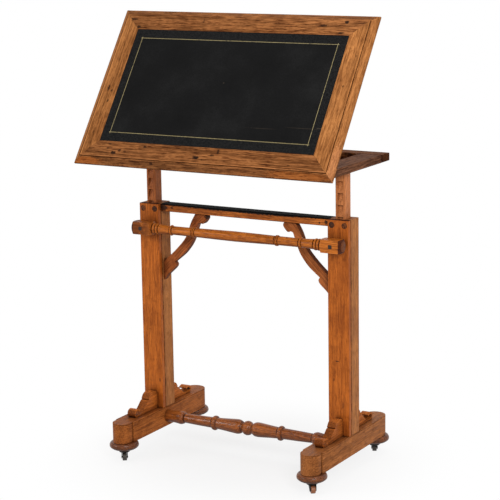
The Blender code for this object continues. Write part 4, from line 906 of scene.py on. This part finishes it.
def pull_bar():
    corner = 25.5
    swell = [(0, 13.6), (60, 13), (120, 12.1, SHARP), (120.8, 10.6, SHARP), (122.2, 10.6, SHARP)]
    beads = [(122.8, 12.8), (124.2, 14.3), (125.6, 13), (126.4, 11.4, SHARP), (127.3, 13), (128.6, 14.3),
             (130, 12.8), (130.6, 10.6, SHARP), (132, 10.6, SHARP), (133, 11.9, SHARP)]
    ring = [(-65.2, 11.7, SHARP), (-64.4, 10.2, SHARP), (-62.2, 10.2, SHARP), (-61.4, 13), (-59.5, 14.5),
            (-57.6, 13), (-56.6, 10.2, SHARP), (-54.8, 10.2, SHARP), (-54, 11.4), (-40, 12.4)]
    rings = [(-22, 13.5, SHARP), (-20.5, 11.2, SHARP), (-19.2, 11.2, SHARP), (-18.4, 14.2), (-15.5, 15.6),
             (-12.8, 14.4), (-11.8, 11.6, SHARP), (-10.8, 11.6, SHARP), (-9.8, 14.6), (-6, 15.6),
             (-3.2, 14.3), (-2, 11.4, SHARP), (-0.5, 11.4, SHARP)]
    shoulder = [(0, 14, SHARP), (3, 20), (6, corner, SHARP)]
    tip = [(-7.5, corner, SHARP), (-3.5, 19), (-1.2, 15.2), (0, 12.6, SHARP)]
    knots = millimetres(swell + beads) + millimetres(ring + rings + shoulder, BAR_INNER)
    knots += millimetres(tip, BAR_END)
    half = flowing(knots, 4) + [(BAR_END, 0.004)]
    centre = middle("pull_bar")
    made = turned("pull_bar_turning", both_ways(half), centre, (1.0, 0.0, 0.0))
    stock = eased(block(centre, (2.2 * BAR_END, BLOCK_WIDTH, BLOCK_WIDTH)), BLOCK_EDGE)
    return combined(made, "INTERSECT", stock)


stands_for(pull_bar(), "pull_bar")


# Pegs: dark round heads, a little domed

def peg(node):
    low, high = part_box(node)
    radius = (high.x - low.x) / 2
    length = high.y - low.y
    shank, head = 0.0026, length - 0.006
    profile = [(0.0, shank), (head, shank), (head, radius), (length - 0.001, radius),
               (length - 0.0004, 0.93 * radius), (length - 0.0001, 0.75 * radius), (length, 0.25 * radius)]
    foot_of_shank = ((low.x + high.x) / 2, high.y, (low.z + high.z) / 2)
    return turned(node + "_turned", profile, foot_of_shank, (0.0, -1.0, 0.0), 24)


first_peg = peg("left_post_inner_peg")
for side in SIDES:
    for place in ("inner", "outer"):
        node = f"{side}_post_{place}_peg"
        stands_for(repeated(first_peg, node + "_turned", "left_post_inner_peg", node), node)


# Casters: a grooved wheel in an iron fork under a round plate

def caster_wheel():
    """A wheel about the Y axis, with its middle at the origin."""
    radius = WHEEL_RADIUS / MM
    rim = [(-6, 6.6, SHARP), (-6, 9, SHARP), (-5.3, 10.1), (-4, radius), (0, radius), (4, radius),
           (5.3, 10.1), (6, 9, SHARP), (6, 6.6, SHARP)]
    near_hub, far_hub = [(-5.4, 2.3), (-5.4, 6.2)], [(5.4, 6.2), (5.4, 2.3)]
    profile = millimetres(near_hub) + flowing(millimetres(rim), 3) + millimetres(far_hub)
    return turned("wheel", profile, (0.0, 0.0, 0.0), (0.0, 1.0, 0.0), SMALL_SIDES)


def caster_fork():
    """A round crown on its pintle, two tapered cheeks and a riveted axle, about a swivel at the origin."""
    crown = [(21.5, 4), (21.5, 11.5), (21.8, 13.1), (22.5, 14.2), (23.2, 14.6), (23.6, 14.2), (23.6, 3),
             (37.6, 3), (37.6, 1)]
    made = turned("fork", millimetres(crown), (0.0, 0.0, 0.0), (0.0, 0.0, 1.0), SMALL_SIDES)
    cheek = [(16, 22.6, SHARP), (-9.8, 22.6, SHARP), (-9.6, 20, SHARP), (-3, 15.8), (4.8, 9.4), (7.8, 6.2),
             (10.5, 5.4), (14.2, 6.8), (15.8, 10.5), (16, 22.6, SHARP)]
    for start in (-0.0085, 0.0065):
        points = [(along, start, up) for along, up in flowing(millimetres(cheek), 4)[:-1]]
        made = combined(made, "UNION", sawn("cheek", points, (0.0, 0.002, 0.0), CRISP_EDGE))
    axle = [(-9.2, 1.2), (-9, 2.2), (-8.6, 2.6), (-8, 2), (8, 2), (8.6, 2.6), (9, 2.2), (9.2, 1.2)]
    hub = (CASTER_TRAIL, 0.0, WHEEL_RADIUS)
    return combined(made, "UNION", turned("axle", millimetres(axle), hub, (0.0, 1.0, 0.0), 20))


first_wheel = caster_wheel()
first_fork = caster_fork()
for corner in CORNERS:
    swivel = middle(corner + "_bun")
    heading = Matrix.Rotation(radians(CASTER_HEADINGS[corner]), 4, "Z")
    at_hub = Matrix.Translation(middle(corner + "_caster_wheel")) @ heading
    at_swivel = Matrix.Translation((swivel.x, swivel.y, 0.0)) @ heading
    stands_for(copied(first_wheel, corner + "_wheel", at_hub), corner + "_caster_wheel")
    stands_for(copied(first_fork, corner + "_fork", at_swivel), corner + "_caster_fork")
    stands_for(eased_copy(corner + "_caster_plate", WAXED_EDGE), corner + "_caster_plate")
bpy.data.objects.remove(first_wheel)
bpy.data.objects.remove(first_fork)


# Slides: a square bar, eased, with a row of ratchet notches chopped in its front

def slide(side):
    low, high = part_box(side + "_slide")
    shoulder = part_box(f"underframe_{side}_rail")[0].z - FIT
    size = Vector((high.x - low.x, high.y - low.y, shoulder - low.z))
    bar = finished(block(low + size / 2, size), side + "_slide_bar")
    eased(bar, SLIDE_EDGE)
    depth, run, width, past = 0.0085, 0.0295, 0.0165, 0.0008
    pin_top = middle("pull_bar").z + PIN_HALF
    comb = []
    for step in range(NOTCHES, -NOTCHES - 1, -1):
        flat = pin_top + step * NOTCH_PITCH
        comb += [(low.y - past, flat), (low.y + depth, flat), (low.y - past, flat - run)]
    clear = low.y - 0.008
    comb += [(clear, comb[-1][1]), (clear, comb[0][1])]
    left = (low.x + high.x) / 2 - width / 2
    cutter = sawn("notch_comb", [(left, y, z) for y, z in comb], (width, 0.0, 0.0), 0.0)
    return combined(bar, "DIFFERENCE", cutter)


for side in SIDES:
    stands_for(slide(side), side + "_slide")


# Board frame: members mitred at the corners, with a quirk beside the outer bevel

def member(name, length, turn, offset):
    """The section is traced on one mitre, and the other mitre is drawn out as its mirror image."""
    top = MEMBER_THICKNESS / MM
    section = [(0.4, 0, SHARP), (72.5, 0, SHARP), (72.5, 7.2, SHARP), (64.5, 7.2, SHARP),
               (64.5, top - 0.7, SHARP), (64.3, top - 0.2), (63.7, top, SHARP),
               (19.6, top, SHARP), (18.8, top - 0.2), (18.4, top - 0.8, SHARP),
               (18.4, top - 3.2, SHARP), (17.5, top - 3.2, SHARP), (17.5, top - 2.4, SHARP),
               (17, top - 2.2), (16, top - 2.6, SHARP), (8.5, 10.5),
               (1.2, 6, SHARP), (0.2, 5.2), (0, 4.2, SHARP), (0, 0.6, SHARP)]
    line = flowing(millimetres(section), 3)
    made = traced([(inward - length / 2 + FIT, inward - offset, height) for inward, height in line])
    bpy.ops.mesh.extrude_region_move(TRANSFORM_OT_translate={"value": (0.0, 0.0, 0.0)})
    bpy.ops.transform.resize(value=(-1.0, 1.0, 1.0), center_override=(0.0, 0.0, 0.0))
    close_mesh()
    finished(made, name, angle=24.0)
    eased(made, CRISP_EDGE, corner=60.0, segments=2)
    board_middle = Matrix.Translation((0.0, BOARD_DEPTH / 2 + BOARD_NEAR, BOARD_UNDER))
    made.data.transform(BOARD_PLACE @ board_middle @ Matrix.Rotation(radians(turn), 4, "Z"))
    return made


def hinge_housing(side):
    """The space that a hinge's upper leaf is let into, where it lies in the board."""
    low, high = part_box(side + "_hinge_upper_leaf")
    near, far, ceiling = -0.0042, 0.0303, 0.0054
    start = Vector((low.x - FIT, near, 0.0))
    stop = Vector((high.x + FIT, far, ceiling))
    made = block((start + stop) / 2, stop - start)
    made.data.transform(BOARD_PLACE)
    return made


for side, length, turn, offset in (("front", BOARD_WIDTH, 0.0, BOARD_DEPTH / 2),
                                   ("right", BOARD_DEPTH, 90.0, BOARD_WIDTH / 2),
                                   ("back", BOARD_WIDTH, 180.0, BOARD_DEPTH / 2),
                                   ("left", BOARD_DEPTH, -90.0, BOARD_WIDTH / 2)):
    piece = member(f"board_{side}_moulding", length, turn, offset)
    if side == "front":
        for hinge in SIDES:
            piece = combined(piece, "DIFFERENCE", hinge_housing(hinge))
    stands_for(piece, f"board_{side}_member")


# Joinery and leather that keep the CAD shape, with their arrises worn round

for node in ("left_post", "right_post", "left_post_front", "right_post_front", "cross_rail",
             "underframe_front_rail", "underframe_back_rail", "underframe_left_rail",
             "underframe_right_rail"):
    stands_for(eased_copy(node, WAXED_EDGE), node)
for node in ("board_leather", "rail_leather", "left_board_batten", "right_board_batten", "left_lock_pin",
             "right_lock_pin"):
    stands_for(eased_copy(node, THIN_EDGE), node)


# Gilt line tooled on the leather: four strips that cross a little at the corners

def gilt_line():
    reach, rise = GILT_LENGTH + GILT_OVERSHOOT, GILT_RISE + GILT_OVERSHOOT
    half = GILT_WIDTH / 2
    made = None
    for x, y, length, width in ((0.0, GILT_NEAR, reach, half), (0.0, GILT_FAR, reach, half),
                                (-GILT_LENGTH, GILT_MIDDLE, half, rise),
                                (GILT_LENGTH, GILT_MIDDLE, half, rise)):
        strip = block((x, y, LEATHER_TOP), (2 * length, 2 * width, GILT_THICKNESS))
        eased(strip, 0.0001, segments=2)
        made = combined(made, "UNION", strip) if made else strip
    made.data.transform(BOARD_PLACE)
    made.name = "gilt_line"
    made.data.name = "gilt_line"
    made.data.materials.clear()
    made.data.materials.append(GILT)
    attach(made, "board")


gilt_line()


# Floor, light and camera

WHITE = (1.0, 1.0, 1.0, 1.0)
PAPER_GREY = (0.86, 0.86, 0.86, 1.0)
SURROUND = 0.42              # strength of the white room as a light
STAND_MIDDLE = (0.0, 0.0, 0.6)
SOFTBOXES = (                # name, place, target, size, watts
    ("window_right", (2.6, -2.6, 2.3), STAND_MIDDLE, 1.3, 78.0),
    ("window_left", (-2.6, -2.9, 1.9), STAND_MIDDLE, 1.1, 34.0),
    ("overhead", (0.2, 0.2, 3.4), (0.0, 0.0, 0.5), 2.4, 30.0),
)
# The camera that was fitted to the photograph
LENS_MM = 126.16
SENSOR_MM = 36.0
CAMERA_PLACE = (2.2979, -3.95012, 1.51987)
CAMERA_ACROSS = Vector((0.867291, 0.497566, -0.015286))
CAMERA_UP = Vector((-0.087787, 0.1831, 0.979167))


def viewed(tree):
    """1 where the camera looks, straight, in a gloss or through glass, and 0 for the light of the room."""
    path = put(tree, "LightPath", {}).outputs
    return greatest(tree, [path["Is Camera Ray"], path["Is Glossy Ray"], path["Is Transmission Ray"]])


def floor():
    """White paper that keeps a soft shadow under the stand and fades into the backdrop."""
    bpy.ops.object.select_all(action="DESELECT")
    bpy.ops.mesh.primitive_plane_add(size=14.0, location=(0.0, 0.0, 0.0))
    made = bpy.context.object
    made.name = "studio_floor"
    paper, tree, surface = blank("studio_paper")
    surface.inputs["Base Color"].default_value = PAPER_GREY
    surface.inputs["Roughness"].default_value = 0.9
    place = put(tree, "TexCoord", {}).outputs["Object"]
    away = put(tree, "VectorMath", {0: place}, operation="LENGTH").outputs["Value"]
    share = product(tree, spread(tree, away, 0.12, 0.62, 0.76, 1.0), viewed(tree))
    white = put(tree, "Emission", {"Color": WHITE, "Strength": 1.0}).outputs[0]
    shown = put(tree, "MixShader", {0: share, 1: surface.outputs["BSDF"], 2: white})
    output = next(one for one in tree.nodes if one.type == "OUTPUT_MATERIAL")
    tree.links.new(shown.outputs[0], output.inputs["Surface"])
    made.data.materials.append(paper)


def backdrop():
    """A white room, brighter to look at than it is as a light."""
    world = bpy.data.worlds.new("studio")
    scene.world = world
    world.use_nodes = True
    tree = world.node_tree
    tree.nodes.clear()
    around = put(tree, "Background", {"Color": WHITE, "Strength": SURROUND}).outputs[0]
    white = put(tree, "Background", {"Color": WHITE, "Strength": 1.0}).outputs[0]
    shown = put(tree, "MixShader", {0: viewed(tree), 1: around, 2: white}).outputs[0]
    put(tree, "OutputWorld", {"Surface": shown})


def softbox(name, place, target, size, watts):
    light = bpy.data.lights.new(name, "AREA")
    light.shape = "RECTANGLE"
    light.size = size
    light.size_y = size
    light.energy = watts
    made = bpy.data.objects.new(name, light)
    made.location = place
    made.rotation_euler = (Vector(target) - Vector(place)).to_track_quat("-Z", "Y").to_euler()
    scene.collection.objects.link(made)


def camera():
    lens = bpy.data.cameras.new("camera")
    lens.sensor_width = SENSOR_MM
    lens.lens = LENS_MM
    made = bpy.data.objects.new("camera", lens)
    away = CAMERA_ACROSS.cross(CAMERA_UP)
    turn = Matrix((CAMERA_ACROSS, CAMERA_UP, away)).transposed().to_4x4()
    made.matrix_world = Matrix.Translation(CAMERA_PLACE) @ turn
    scene.collection.objects.link(made)
    scene.camera = made


floor()
backdrop()
for row in SOFTBOXES:
    softbox(*row)
camera()
scene.view_settings.view_transform = "Standard"
